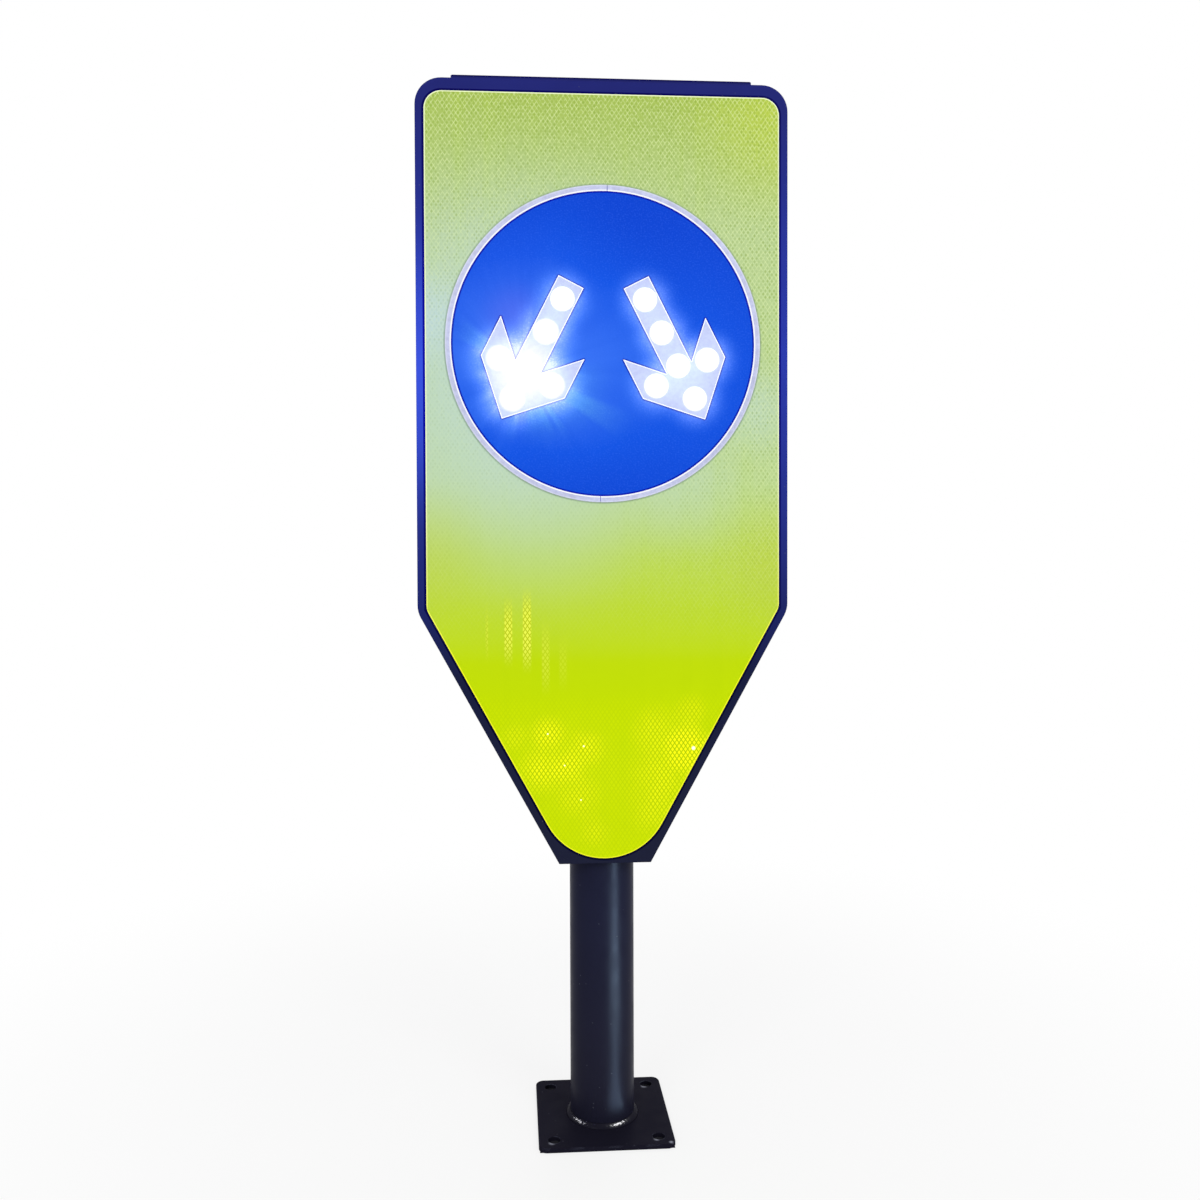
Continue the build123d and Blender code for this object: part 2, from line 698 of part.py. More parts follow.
def arrow_films():
    return [slab(arrow_outline(side) - lamp_holes(), ARROW_FACE, DISC_FACE) for side in (-1, 1)]


# Lamps

def led_lenses():
    """Domed lenses with a hollow threaded barrel through the panel."""
    radius = LENS_DIAMETER / 2
    barrel = LAMP_BARREL / 2
    bore = LAMP_BORE / 2
    rim = ARROW_FACE - LENS_RIM
    flange = [(radius, rim), (radius, ARROW_FACE), (barrel, ARROW_FACE), (barrel, LAMP_BACK)]
    hollow = [(bore, LAMP_BACK), (bore, LAMP_BORE_FRONT), (0, LAMP_BORE_FRONT)]
    profile = Polyline(*flange, *hollow, (0, rim - LENS_CROWN))
    return placed(LAMPS, turned(profile, crown(radius, rim, -LENS_CROWN)))


def led_seals():
    seal = rod(0, 0, LAMP_NUT_FLATS, PANEL_REAR, PANEL_REAR + LAMP_SEAL)
    return placed(LAMPS, seal - rod(0, 0, LAMP_HOLE, PANEL_REAR, PANEL_REAR + LAMP_SEAL))


def led_nuts():
    low = PANEL_REAR + LAMP_SEAL
    high = low + LAMP_NUT_HEIGHT
    return placed(LAMPS, hexagon(0, 0, LAMP_NUT_FLATS, low, high) - rod(0, 0, LAMP_BARREL, low, high))


def led_boards():
    return placed(LAMPS, rod(0, 0, LAMP_BOARD_DIAMETER, LAMP_BOARD_FRONT, LAMP_BOARD_FRONT + LAMP_BOARD))


def led_emitters():
    radius = EMITTER_DIAMETER / 2
    seat = LAMP_BOARD_FRONT
    rim = seat - EMITTER_HEIGHT / 2
    profile = Polyline((radius, rim), (radius, seat), (0, seat), (0, seat - EMITTER_HEIGHT))
    return placed(LAMPS, turned(profile, crown(radius, rim, -EMITTER_HEIGHT / 2)))


def led_caps():
    """Caps that close the lamps' barrels, each with a cable nipple."""
    cap = rod(0, 0, LAMP_CAP_DIAMETER, LAMP_BACK, LAMP_BACK + LAMP_CAP_RIM)
    cap += rod(0, 0, LAMP_NIPPLE, LAMP_BACK + LAMP_CAP_RIM, LAMP_CAP_BACK)
    return placed(LAMPS, cap)


def led_harness(side):
    """One arrow's wiring: a run along the axis, a run across the wings and on to the controller."""
    last_lamp = LAMP_FIRST + (LAMP_AXIS_COUNT - 1) * LAMP_PITCH
    tail_x, tail_z = arrow_point(side, last_lamp + TRUNK_DIAMETER / 2, 0)
    tip_x, tip_z = arrow_point(side, LAMP_FIRST - TRUNK_DIAMETER / 2, 0)
    trunk = cable(Line((tail_x, HARNESS_Y, tail_z), (tip_x, HARNESS_Y, tip_z)), TRUNK_DIAMETER)
    wing_x, wing_z = arrow_point(side, LAMP_WING_BACK, LAMP_WING_ACROSS + CABLE_DIAMETER / 2)
    drop_x = side * HARNESS_DROP_X
    turn_across = (abs(wing_x) - HARNESS_DROP_X) / cos(ARROW_TURN)
    turn_z = wing_z - turn_across * sin(ARROW_TURN)
    route = FilletPolyline(
        (wing_x, HARNESS_Y, wing_z),
        (drop_x, HARNESS_Y, turn_z),
        (drop_x, HARNESS_Y, PLATE_HIGH + HARNESS_BEND_HIGH),
        (drop_x, CONTROLLER_CABLE_Y, PLATE_HIGH + HARNESS_BEND_LOW),
        (drop_x, CONTROLLER_CABLE_Y, CONTROLLER_HIGH - CABLE_ENTRY),
        radius=HARNESS_RADII,
    )
    tails = [rod(x, z, TAIL_DIAMETER, LAMP_CAP_BACK, HARNESS_Y) for x, z in lamp_points(side)]
    return trunk + cable(route) + tails


# Equipment behind the hatch

def mounting_plate():
    width = (-PLATE_HALF_WIDTH, PLATE_HALF_WIDTH)
    depth = (PLATE_FRONT, PLATE_REAR)
    holes = [rod(x, z, SCREW_CLEARANCE, *depth) for x, z in SPACERS]
    holes += [rod(x, z, SCREW_SHANK, *depth) for x, z in STRAP_FEET + CONTROLLER_FEET]
    return block(width, depth, (PLATE_LOW, PLATE_HIGH)) - holes


def pan_screw(seat, tip):
    """A pan head screw with its head behind the seat."""
    top = seat + PLATE_SCREW_HEIGHT
    screw = rod(0, 0, PLATE_SCREW_HEAD, seat, top) + rod(0, 0, SCREW_SHANK, tip, seat)
    return screw - hexagon(0, 0, SCREW_SOCKET, seat + PLATE_SCREW_HEIGHT / 2, top)


def equipment_screws():
    """Screws of the mounting plate, the battery strap and the controller."""
    end = PLATE_FRONT - PLATE_SCREW_END
    plate = placed(SPACERS, pan_screw(PLATE_REAR, PLATE_REAR - STUD_LENGTH))
    strap = placed(STRAP_FEET, pan_screw(PLATE_REAR + STRAP, end))
    feet = placed(CONTROLLER_FEET, pan_screw(PLATE_REAR + CONTROLLER_WALL, end))
    return plate + strap + feet


def controller_base():
    """An open plastic box with two screw feet, board posts and cable holes."""
    half = CONTROLLER_HALF_WIDTH
    wall = CONTROLLER_WALL
    floor = (PLATE_REAR, PLATE_REAR + wall)
    level = (CONTROLLER_LOW + wall, CONTROLLER_HIGH - wall)
    base = block((-half, half), (PLATE_REAR, CONTROLLER_REAR), (CONTROLLER_LOW, CONTROLLER_HIGH))
    base -= block((wall - half, half - wall), (PLATE_REAR + wall, CONTROLLER_REAR), level)
    reach = half + CONTROLLER_FOOT
    foot = CONTROLLER_FOOT_HEIGHT / 2
    base += block((-reach, reach), floor, (CONTROLLER_MIDDLE - foot, CONTROLLER_MIDDLE + foot))
    base -= [rod(x, z, SCREW_SHANK, *floor) for x, z in CONTROLLER_FEET]
    post_x = half - BOARD_POST_INSET
    post_z = (CONTROLLER_LOW + BOARD_POST_INSET, CONTROLLER_HIGH - BOARD_POST_INSET)
    post = rod(0, 0, BOARD_POST_DIAMETER, PLATE_REAR + wall, PLATE_REAR + BOARD_STANDOFF)
    base += placed([(x, z) for x in (-post_x, post_x) for z in post_z], post)
    cable_hole = Cylinder(CABLE_DIAMETER / 2, wall, align=(Align.CENTER, Align.CENTER, Align.MIN))
    for x in (-HARNESS_DROP_X, HARNESS_DROP_X, SOLAR_CABLE_X):
        base -= Pos(x, CONTROLLER_CABLE_Y, CONTROLLER_HIGH - wall) * cable_hole
    base -= Pos(BATTERY_CABLE_X, CONTROLLER_CABLE_Y, CONTROLLER_LOW) * cable_hole
    side_hole = Rot(0, 90, 0) * cable_hole
    return base - Pos(half - wall, CONTROLLER_CABLE_Y, CONTROLLER_MIDDLE + SWITCH_CABLE_RISE) * side_hole


def controller_board():
    half = CONTROLLER_HALF_WIDTH - BOARD_MARGIN
    level = (CONTROLLER_LOW + BOARD_MARGIN, CONTROLLER_HIGH - BOARD_MARGIN)
    return block((-half, half), (BOARD_FACE - BOARD, BOARD_FACE), level)


def board_block(size, place):
    """A box on the board, by its size and the place of its middle."""
    width, height, rise = size
    outline = Pos(place[0], CONTROLLER_MIDDLE + place[1]) * Rectangle(width, height)
    return slab(outline, BOARD_FACE, BOARD_FACE + rise)


def board_rod(diameter, rise, place):
    """A round part on the board."""
    return rod(place[0], CONTROLLER_MIDDLE + place[1], diameter, BOARD_FACE, BOARD_FACE + rise)


def heat_sink():
    """A finned block, its slots open at the back."""
    x, z = SINK_PLACE
    slot_size = (SINK_SLOT, SINK_SIZE[1], SINK_SIZE[2] - SINK_FLOOR)
    slots = [board_block(slot_size, (x + i * SINK_SLOT_PITCH, z)) for i in (-1, 0, 1)]
    return board_block(SINK_SIZE, SINK_PLACE) - [Pos(0, SINK_FLOOR, 0) * slot for slot in slots]


def controller_components():
    """The board's larger parts: terminal strip, coil, heat sink, two capacitors and driver chips."""
    strip = board_block(TERMINAL_SIZE, TERMINAL_PLACE)
    coil = board_rod(COIL_DIAMETER, COIL_HEIGHT, COIL_PLACE) - board_rod(COIL_BORE, COIL_HEIGHT, COIL_PLACE)
    capacitors = [board_rod(CAPACITOR_DIAMETER, CAPACITOR_HEIGHT, place) for place in CAPACITOR_PLACES]
    chips = [board_block(CHIP_SIZE, place) for place in CHIP_PLACES]
    return [strip, coil, heat_sink()] + capacitors + chips


def controller_lid():
    half = CONTROLLER_HALF_WIDTH
    depth = (CONTROLLER_REAR, CONTROLLER_REAR + CONTROLLER_LID)
    lid = block((-half, half), depth, (CONTROLLER_LOW, CONTROLLER_HIGH))
    rim = lid.faces().sort_by(Axis.Y)[-1].edges()
    return chamfer(rim, CONTROLLER_LID / 3)


def cell_row(diameter):
    """A row of upright cylinders where the battery's cells stand."""
    cell = Cylinder(diameter / 2, CELL_LENGTH, align=(Align.CENTER, Align.CENTER, Align.MIN))
    first = -(CELL_COUNT - 1) / 2 * CELL_PITCH
    return [Pos(first + i * CELL_PITCH, CELL_Y, CELL_LOW) * cell for i in range(CELL_COUNT)]


def battery_cells():
    return cell_row(CELL_DIAMETER)


def battery_holders():
    """Two plastic trays that grip the ends of the cells."""
    width = (-HOLDER_HALF_WIDTH, HOLDER_HALF_WIDTH)
    depth = (HOLDER_FRONT, PACK_BACK)
    seats = cell_row(CELL_DIAMETER + 2 * CELL_CLEARANCE)
    lower = block(width, depth, (PACK_LOW, CELL_LOW + HOLDER_GRIP))
    upper = block(width, depth, (CELL_LOW + CELL_LENGTH - HOLDER_GRIP, PACK_HIGH))
    return [lower - seats, upper - seats]


def battery_strap():
    """A steel strap over the battery, with a foot above and below it."""
    width = (-STRAP_HALF_WIDTH, STRAP_HALF_WIDTH)
    low = PACK_LOW - STRAP
    high = PACK_HIGH + STRAP
    strap = block(width, (PACK_BACK, PACK_BACK + STRAP), (low, high))
    strap += block(width, (PLATE_REAR, PACK_BACK), (low, PACK_LOW))
    strap += block(width, (PLATE_REAR, PACK_BACK), (PACK_HIGH, high))
    strap += block(width, (PLATE_REAR, PLATE_REAR + STRAP), (low - STRAP_FOOT, low))
    strap += block(width, (PLATE_REAR, PLATE_REAR + STRAP), (high, high + STRAP_FOOT))
    return strap - [rod(x, z, SCREW_SHANK, PLATE_REAR, PLATE_REAR + STRAP) for x, z in STRAP_FEET]


def battery_cable():
    """From the top of the battery to the underside of the controller."""
    x = BATTERY_CABLE_X
    y = CONTROLLER_CABLE_Y
    points = [
        (-58.0, CELL_Y, PACK_HIGH),
        (-58.0, CELL_Y, PACK_HIGH + 12.0),
        (x, y, CONTROLLER_LOW - 10.0),
        (x, y, CONTROLLER_LOW + CABLE_ENTRY),
    ]
    return cable(FilletPolyline(*points, radius=(8.0, 8.0)))


def solar_cable():
    """From the roof grommet down the side wall and behind the lamps to the controller."""
    x = SOLAR_CABLE_X
    y = CONTROLLER_CABLE_Y
    points = [
        (GROMMET_X, 0, CABINET_TOP),
        (GROMMET_X, 0, 985.0),
        (150.0, 0, 945.0),
        (150.0, 0, 730.0),
        (110.0, y, 678.0),
        (x, y, 664.0),
        (x, y, CONTROLLER_HIGH - CABLE_ENTRY),
    ]
    return cable(FilletPolyline(*points, radius=(20.0, 30.0, 30.0, 30.0, 12.0)))


def switch_cable():
    """From the back of the switch, past the battery, to the side of the controller."""
    y = CONTROLLER_CABLE_Y
    level = CONTROLLER_MIDDLE + SWITCH_CABLE_RISE
    points = [
        (SWITCH_X, SWITCH_TERMINAL_FRONT, SWITCH_Z),
        (SWITCH_X, 2.0, SWITCH_Z),
        (84.0, 2.0, 446.0),
        (84.0, y, 584.0),
        (72.0, y, level),
        (CONTROLLER_HALF_WIDTH - CABLE_ENTRY, y, level),
    ]
    return cable(FilletPolyline(*points, radius=(11.0, 30.0, 12.0, 12.0)))


# Solar module

def solar_screw_points():
    """Two screws in each short side of the frame and one in the middle of each long side."""
    end = SOLAR_HALF_LENGTH - SOLAR_BORDER / 2
    edge = SOLAR_HALF_DEPTH - SOLAR_BORDER / 2
    ends = [(x, y) for x in (-end, end) for y in (-SOLAR_SCREW_Y, SOLAR_SCREW_Y)]
    return ends + [(0, -edge), (0, edge)]


def solar_layer(gap, low, thickness):
    """A flat layer inside the solar frame."""
    x = SOLAR_HALF_LENGTH - SOLAR_BORDER - gap
    y = SOLAR_HALF_DEPTH - SOLAR_BORDER - gap
    return block((-x, x), (-y, y), (low, low + thickness))


def solar_screw():
    """A countersunk screw, its head flush with the top of the frame."""
    top = CABINET_TOP + SOLAR_HEIGHT
    head = SOLAR_SCREW_HEAD / 2
    shank = SOLAR_SCREW_SHANK / 2
    tip = top - SOLAR_SCREW_LENGTH
    points = [(0, top), (head, top), (shank, top - SOLAR_SCREW_CONE), (shank, tip), (0, tip)]
    return upright(Polyline(*points, close=True))


def solar_frame():
    length = (-SOLAR_HALF_LENGTH, SOLAR_HALF_LENGTH)
    depth = (-SOLAR_HALF_DEPTH, SOLAR_HALF_DEPTH)
    frame = block(length, depth, (CABINET_TOP, CABINET_TOP + SOLAR_HEIGHT))
    frame = chamfer(frame.edges().filter_by(Axis.Z), SOLAR_CORNER)
    frame -= solar_layer(0, CABINET_TOP, SOLAR_HEIGHT)
    return frame - [Pos(x, y) * solar_screw() for x, y in solar_screw_points()]


def solar_screws():
    bottom = CABINET_TOP + SOLAR_HEIGHT - SOLAR_SCREW_SOCKET_DEPTH
    opening = RegularPolygon(SOLAR_SCREW_SOCKET / 2, 6, major_radius=False)
    socket = Pos(0, 0, bottom) * extrude(opening, amount=SOLAR_SCREW_SOCKET_DEPTH)
    screw = solar_screw() - socket
    return [Pos(x, y) * screw for x, y in solar_screw_points()]


def solar_backsheet():
    return solar_layer(SOLAR_GAP, CABINET_TOP, SOLAR_BOARD)


def solar_cells():
    """A row of cells on the back board."""
    half = SOLAR_HALF_LENGTH - SOLAR_BORDER - SOLAR_CELL_MARGIN
    depth = SOLAR_HALF_DEPTH - SOLAR_BORDER - SOLAR_CELL_MARGIN
    pitch = (2 * half + SOLAR_CELL_GAP) / SOLAR_CELL_COUNT
    low = CABINET_TOP + SOLAR_BOARD
    cell = block((0, pitch - SOLAR_CELL_GAP), (-depth, depth), (low, low + SOLAR_CELL))
    return [Pos(i * pitch - half, 0, 0) * cell for i in range(SOLAR_CELL_COUNT)]


def solar_glass():
    return solar_layer(SOLAR_GAP, CABINET_TOP + SOLAR_BOARD + SOLAR_CELL, SOLAR_GLASS)


def roof_grommet():
    """A rubber grommet where the solar module's cable enters the cabinet."""
    bore = CABLE_DIAMETER / 2
    flange = ROOF_INSIDE - GROMMET_RIM
    tail = flange - GROMMET_TAIL_LENGTH
    neck = [(bore, CABINET_TOP), (GROMMET_NECK / 2, CABINET_TOP), (GROMMET_NECK / 2, ROOF_INSIDE)]
    rim = [(GROMMET_FLANGE / 2, ROOF_INSIDE), (GROMMET_FLANGE / 2, flange)]
    spout = [(GROMMET_TAIL / 2, flange), (GROMMET_TAIL / 2, tail), (bore, tail)]
    return Pos(GROMMET_X, 0, 0) * upright(Polyline(*neck, *rim, *spout, close=True))


# Rear hatch

def hatch_door():
    face = hatch_outline(HATCH_OVERLAP) - Pos(LOCK_X, HATCH_CENTRE) * Circle(LOCK_BARREL / 2)
    door = slab(face, DOOR_FRONT, DOOR_BACK)
    rim = door.faces().sort_by(Axis.Y)[-1].outer_wire().edges()
    return chamfer(rim, SKIN / 4)


def hatch_gasket():
    ring = hatch_outline(HATCH_SEAL_OUTER) - hatch_outline(HATCH_SEAL_INNER)
    return slab(ring, BACK + HATCH_SEAL_GAP, DOOR_FRONT)


def hinge_levels():
    return (HATCH_CENTRE - HINGE_SPREAD, HATCH_CENTRE + HINGE_SPREAD)


def hinge_piece(sketch, low, high):
    """A hinge's section in X and Y, raised from low to high about the hinge's middle."""
    return Pos(0, 0, low) * extrude(sketch, amount=high - low)


def hinge_leaf_section(x_range, y_low):
    width = x_range[1] - x_range[0]
    return Pos(HINGE_X + x_range[0], y_low) * Rectangle(width, HINGE_LEAF, align=(Align.MIN, Align.MIN))


def hinge_leaves_cover():
    """The fixed leaves: two knuckles at the ends and a leaf on the cover."""
    half = HINGE_HEIGHT / 2
    edge = -KNUCKLE_RADIUS - KNUCKLE_CLEARANCE
    flat = hinge_leaf_section((-HINGE_LEAF_WIDTH, edge), BACK)
    barrel = Pos(HINGE_X, HINGE_Y) * Circle(KNUCKLE_RADIUS)
    knuckle = barrel + hinge_leaf_section((edge, 0), BACK) - Pos(HINGE_X, HINGE_Y) * Circle(PIN_RADIUS)
    leaf = hinge_piece(flat, -half, half)
    leaf += hinge_piece(knuckle, -half, HINGE_KNUCKLE - half)
    leaf += hinge_piece(knuckle, half - HINGE_KNUCKLE, half)
    return [Pos(0, 0, z) * leaf for z in hinge_levels()]


def hinge_leaves_door():
    """The moving leaves: one knuckle in the middle and a leaf on the door."""
    half = HINGE_HEIGHT / 2
    middle = half - HINGE_KNUCKLE - HINGE_GAP
    edge = KNUCKLE_RADIUS + KNUCKLE_CLEARANCE
    flat = hinge_leaf_section((edge, HINGE_LEAF_WIDTH), DOOR_BACK)
    barrel = Pos(HINGE_X, HINGE_Y) * Circle(KNUCKLE_RADIUS)
    knuckle = barrel + hinge_leaf_section((0, edge), DOOR_BACK)
    knuckle -= Pos(HINGE_X, HINGE_Y) * Circle(PIN_RADIUS + PIN_FIT)
    leaf = hinge_piece(flat, -half, half) + hinge_piece(knuckle, -middle, middle)
    return [Pos(0, 0, z) * leaf for z in hinge_levels()]


def hinge_pins():
    half = HINGE_HEIGHT / 2
    place = Pos(HINGE_X, HINGE_Y)
    pin = hinge_piece(place * Circle(PIN_RADIUS), -half, half)
    pin += hinge_piece(place * Circle(PIN_HEAD_RADIUS), half, half + PIN_HEAD)
    pin += hinge_piece(place * Circle(PIN_HEAD_RADIUS), -half - PIN_HEAD, -half)
    return [Pos(0, 0, z) * pin for z in hinge_levels()]


# Cam lock

def lock_body():
    """The lock's bezel and barrel, with a bore for the plug."""
    bezel = LOCK_BEZEL / 2
    barrel = LOCK_BARREL / 2
    bore = LOCK_BORE / 2
    rear = DOOR_BACK + LOCK_BEZEL_HEIGHT
    bevel = LOCK_BEZEL_HEIGHT / 2
    rim = [(bore, rear), (bezel - bevel, rear), (bezel, rear - bevel), (bezel, DOOR_BACK)]
    tube = [(barrel, DOOR_BACK), (barrel, LOCK_BARREL_FRONT), (bore, LOCK_BARREL_FRONT)]
    return Pos(LOCK_X, 0, HATCH_CENTRE) * turned(Polyline(*rim, *tube, close=True))


def lock_nut():
    low = DOOR_FRONT - LOCK_NUT_HEIGHT
    nut = hexagon(0, 0, LOCK_NUT_FLATS, low, DOOR_FRONT) - rod(0, 0, LOCK_BARREL, low, DOOR_FRONT)
    return Pos(LOCK_X, 0, HATCH_CENTRE) * nut


def lock_plug():
    """The turning plug, with a key slot at the back and a tail that carries the cam."""
    rear = DOOR_BACK + LOCK_BEZEL_HEIGHT - LOCK_PLUG_RECESS
    plug = rod(0, 0, LOCK_PLUG, CAM_BACK, rear)
    plug += rod(0, 0, CAM_TAIL, CAM_FRONT, CAM_BACK)
    plug += hexagon(0, 0, CAM_BOLT_FLATS, CAM_FRONT - CAM_BOLT_HEIGHT, CAM_FRONT)
    slot = slab(Rectangle(KEY_SLOT_WIDTH, KEY_SLOT_HEIGHT), rear - KEY_SLOT_DEPTH, rear)
    return Pos(LOCK_X, 0, HATCH_CENTRE) * (plug - slot)


def lock_cam():
    """The tongue, pointing down when unlocked; a quarter turn puts it behind the cover's edge."""
    length = CAM_REACH + CAM_WIDTH / 2
    tongue = Pos(0, (CAM_WIDTH / 2 - CAM_REACH) / 2) * RectangleRounded(CAM_WIDTH, length, CAM_WIDTH / 4)
    cam = slab(tongue - Circle(CAM_TAIL / 2), CAM_FRONT, CAM_BACK)
    return Pos(LOCK_X, 0, HATCH_CENTRE) * cam


# Push switch

def switch_body():
    """The switch's flange and bush, with a hollow for the button's collar and a terminal block."""
    flange = SWITCH_FLANGE / 2
    bush = SWITCH_BUSH / 2
    bore = SWITCH_BORE / 2
    mouth = BUTTON_DIAMETER / 2 + BUTTON_FIT
    terminal = SWITCH_TERMINAL / 2
    rear = BACK + SWITCH_FLANGE_HEIGHT
    lip = rear - SWITCH_LIP
    floor = SWITCH_BUSH_FRONT + SWITCH_FLOOR
    rim = [(mouth, rear), (flange - SWITCH_BEVEL, rear), (flange, rear - SWITCH_BEVEL), (flange, BACK)]
    tube = [(bush, BACK), (bush, SWITCH_BUSH_FRONT), (terminal, SWITCH_BUSH_FRONT)]
    end = [(terminal, SWITCH_TERMINAL_FRONT), (0, SWITCH_TERMINAL_FRONT)]
    hollow = [(0, floor), (bore, floor), (bore, lip), (mouth, lip)]
    return Pos(SWITCH_X, 0, SWITCH_Z) * turned(Polyline(*rim, *tube, *end, *hollow, close=True))


def switch_nut():
    low = COVER_FRONT - SWITCH_NUT_HEIGHT
    nut = hexagon(0, 0, SWITCH_NUT_FLATS, low, COVER_FRONT) - rod(0, 0, SWITCH_BUSH, low, COVER_FRONT)
    return Pos(SWITCH_X, 0, SWITCH_Z) * nut


def switch_button():
    """The push button, kept in by a collar inside the bush."""
    radius = BUTTON_DIAMETER / 2
    collar = BUTTON_COLLAR / 2
    rear = BACK + SWITCH_FLANGE_HEIGHT
    top = rear + BUTTON_STAND
    collar_back = rear - SWITCH_LIP - BUTTON_STOP_GAP
    collar_front = collar_back - BUTTON_TRAVEL
    end = top - BUTTON_LENGTH
    cap = [(0, top), (radius - BUTTON_BEVEL, top), (radius, top - BUTTON_BEVEL), (radius, collar_back)]
    ring = [(collar, collar_back), (collar, collar_front), (radius, collar_front)]
    stem = [(radius, end), (0, end)]
    return Pos(SWITCH_X, 0, SWITCH_Z) * turned(Polyline(*cap, *ring, *stem, close=True))


# Write every node

os.makedirs("parts", exist_ok=True)

save("base_plate", base_plate())
save("post_tube", post_tube())
save("base_weld", base_weld())
save("post_cap", post_cap())

channel = rail_band()
save("front_panel", front_panel())
save("panel_studs", *panel_studs())
save("front_seal", front_seal())
save("front_nuts", *front_nuts())
save("upper_rail", upper_rail(channel))
save("lower_rails", lower_rails(channel))
save("floor_rail", floor_rail(channel))
save("splice_plates", *splice_plates())
save("rear_gasket", rear_gasket())
save("rear_cover", rear_cover())
save("cover_screws", *cover_screws())
save("rivet_nuts", *rivet_nuts())

save("post_socket", post_socket())
save("socket_gussets", *socket_gussets())
save("set_screws", *set_screws())
save("access_plugs", *access_plugs())

save("reflective_sheet", reflective_sheet())
save("disc_film", disc_film())
save("ring_film", ring_film())
save("arrow_films", *arrow_films())

save("led_lenses", *led_lenses())
save("led_seals", *led_seals())
save("led_nuts", *led_nuts())
save("led_boards", *led_boards())
save("led_emitters", *led_emitters())
save("led_caps", *led_caps())
save("led_harness", led_harness(-1), led_harness(1))

save("mounting_plate", mounting_plate())
save("equipment_screws", *equipment_screws())
save("controller_base", controller_base())
save("controller_board", controller_board())
save("controller_components", *controller_components())
save("controller_lid", controller_lid())
save("battery_cells", *battery_cells())
save("battery_holders", *battery_holders())
save("battery_strap", battery_strap())
save("solar_cable", solar_cable())
save("control_cables", battery_cable(), switch_cable())

save("solar_frame", solar_frame())
save("solar_screws", *solar_screws())
save("solar_backsheet", solar_backsheet())
save("solar_cells", *solar_cells())
save("solar_glass", solar_glass())
save("roof_grommet", roof_grommet())

save("hatch_door", hatch_door())
save("hatch_gasket", hatch_gasket())
save("hinge_leaves_cover", *hinge_leaves_cover())
save("hinge_leaves_door", *hinge_leaves_door())
save("hinge_pins", *hinge_pins())
save("lock_body", lock_body())
save("lock_nut", lock_nut())
save("lock_plug", lock_plug())
save("lock_cam", lock_cam())

save("switch_body", switch_body())
save("switch_nut", switch_nut())
save("switch_button", switch_button())
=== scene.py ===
import json
import random
from math import atan, cos, floor, pi, radians, sin, sqrt

import bpy
from mathutils import Matrix, Vector


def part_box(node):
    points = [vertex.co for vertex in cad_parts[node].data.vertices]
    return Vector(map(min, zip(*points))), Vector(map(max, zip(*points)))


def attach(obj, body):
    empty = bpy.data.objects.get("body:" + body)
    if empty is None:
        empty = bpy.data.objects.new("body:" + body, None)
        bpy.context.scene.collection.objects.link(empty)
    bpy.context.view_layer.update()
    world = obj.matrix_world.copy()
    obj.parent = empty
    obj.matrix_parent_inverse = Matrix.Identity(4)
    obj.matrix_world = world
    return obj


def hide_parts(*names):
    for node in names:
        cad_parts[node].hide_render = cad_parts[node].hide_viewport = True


# Looks of the solar LED road sign. Lengths are metres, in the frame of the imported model:
# X to the right seen from the front, Y to the back, Z up, origin under the middle of the base plate.

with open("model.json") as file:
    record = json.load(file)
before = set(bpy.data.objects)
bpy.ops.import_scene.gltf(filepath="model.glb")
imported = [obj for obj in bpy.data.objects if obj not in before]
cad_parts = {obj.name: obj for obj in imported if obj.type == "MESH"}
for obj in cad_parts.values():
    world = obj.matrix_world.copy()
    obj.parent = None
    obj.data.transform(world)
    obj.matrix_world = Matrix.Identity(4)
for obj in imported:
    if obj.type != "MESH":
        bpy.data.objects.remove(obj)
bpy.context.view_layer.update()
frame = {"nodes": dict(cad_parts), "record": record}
NODES = frame["nodes"]

# Camera, fitted to the photograph
IMAGE_SIZE = 1200
FOCAL_PIXELS = 1070.3
OPTICAL_AXIS_X = 580.5
OPTICAL_AXIS_Y = 565
SENSOR_MM = 36.0
CAMERA_PLACE = Vector((-0.0884, -1.0589, 0.5712))
CAMERA_YAW = radians(3.692)
CAMERA_PITCH = radians(1.089)
CAMERA_ROLL = radians(0.191)

# Room: strengths in units where 1 is white
WORLD_LIGHT = 0.62
FLOOR_GLOW = 0.75
FLOOR_FADE_START = 0.25
FLOOR_FADE_END = 1.00
FLOOR_HALF_SIZE = 8.0
PLATE_SHADE_INSET = 0.001

# Square lamps of the room, aimed at the sign's middle: name, place, side, brightness
SIGN_MIDDLE = (0, 0, 0.6)
ROOM_LAMPS = (
    ("key_left", (-1.5, -2.3, 1.7), 1.3, 3.3),
    ("key_right", (1.5, -2.3, 1.7), 1.3, 3.5),
    ("top_fill", (0, 0, 2.6), 1.6, 0.8),
    ("back_fill", (0.8, 2.4, 1.9), 1.4, 2.4),
)

# Lamps that show only as a shine on one piece: name, place, target, width, height, brightness
WELD_SHINES = (
    ("weld_left", (-0.133, 0.001, 0.108), (-0.123, 0.001, 0.0), 0.08, 0.04, 300.0),
    ("weld_right", (0.091, -0.057, 0.132), (0.081, -0.054, 0.0), 0.09, 0.04, 800.0),
)
POST_SHINES = (
    ("post_far", (0.437, -0.487, 0.008), (0.423, -0.472, 1.008), 0.20, 0.85, 38.0),
    ("post_near", (0.085, -0.110, 0.012), (0.071, -0.095, 1.012), 0.045, 0.18, 14.0),
)

# Light of the lamps, as shares of red, green and blue
NEUTRAL_LIGHT = (1.0, 1.0, 1.0)
POST_SHINE_LIGHT = (0.71, 1.0, 1.29)

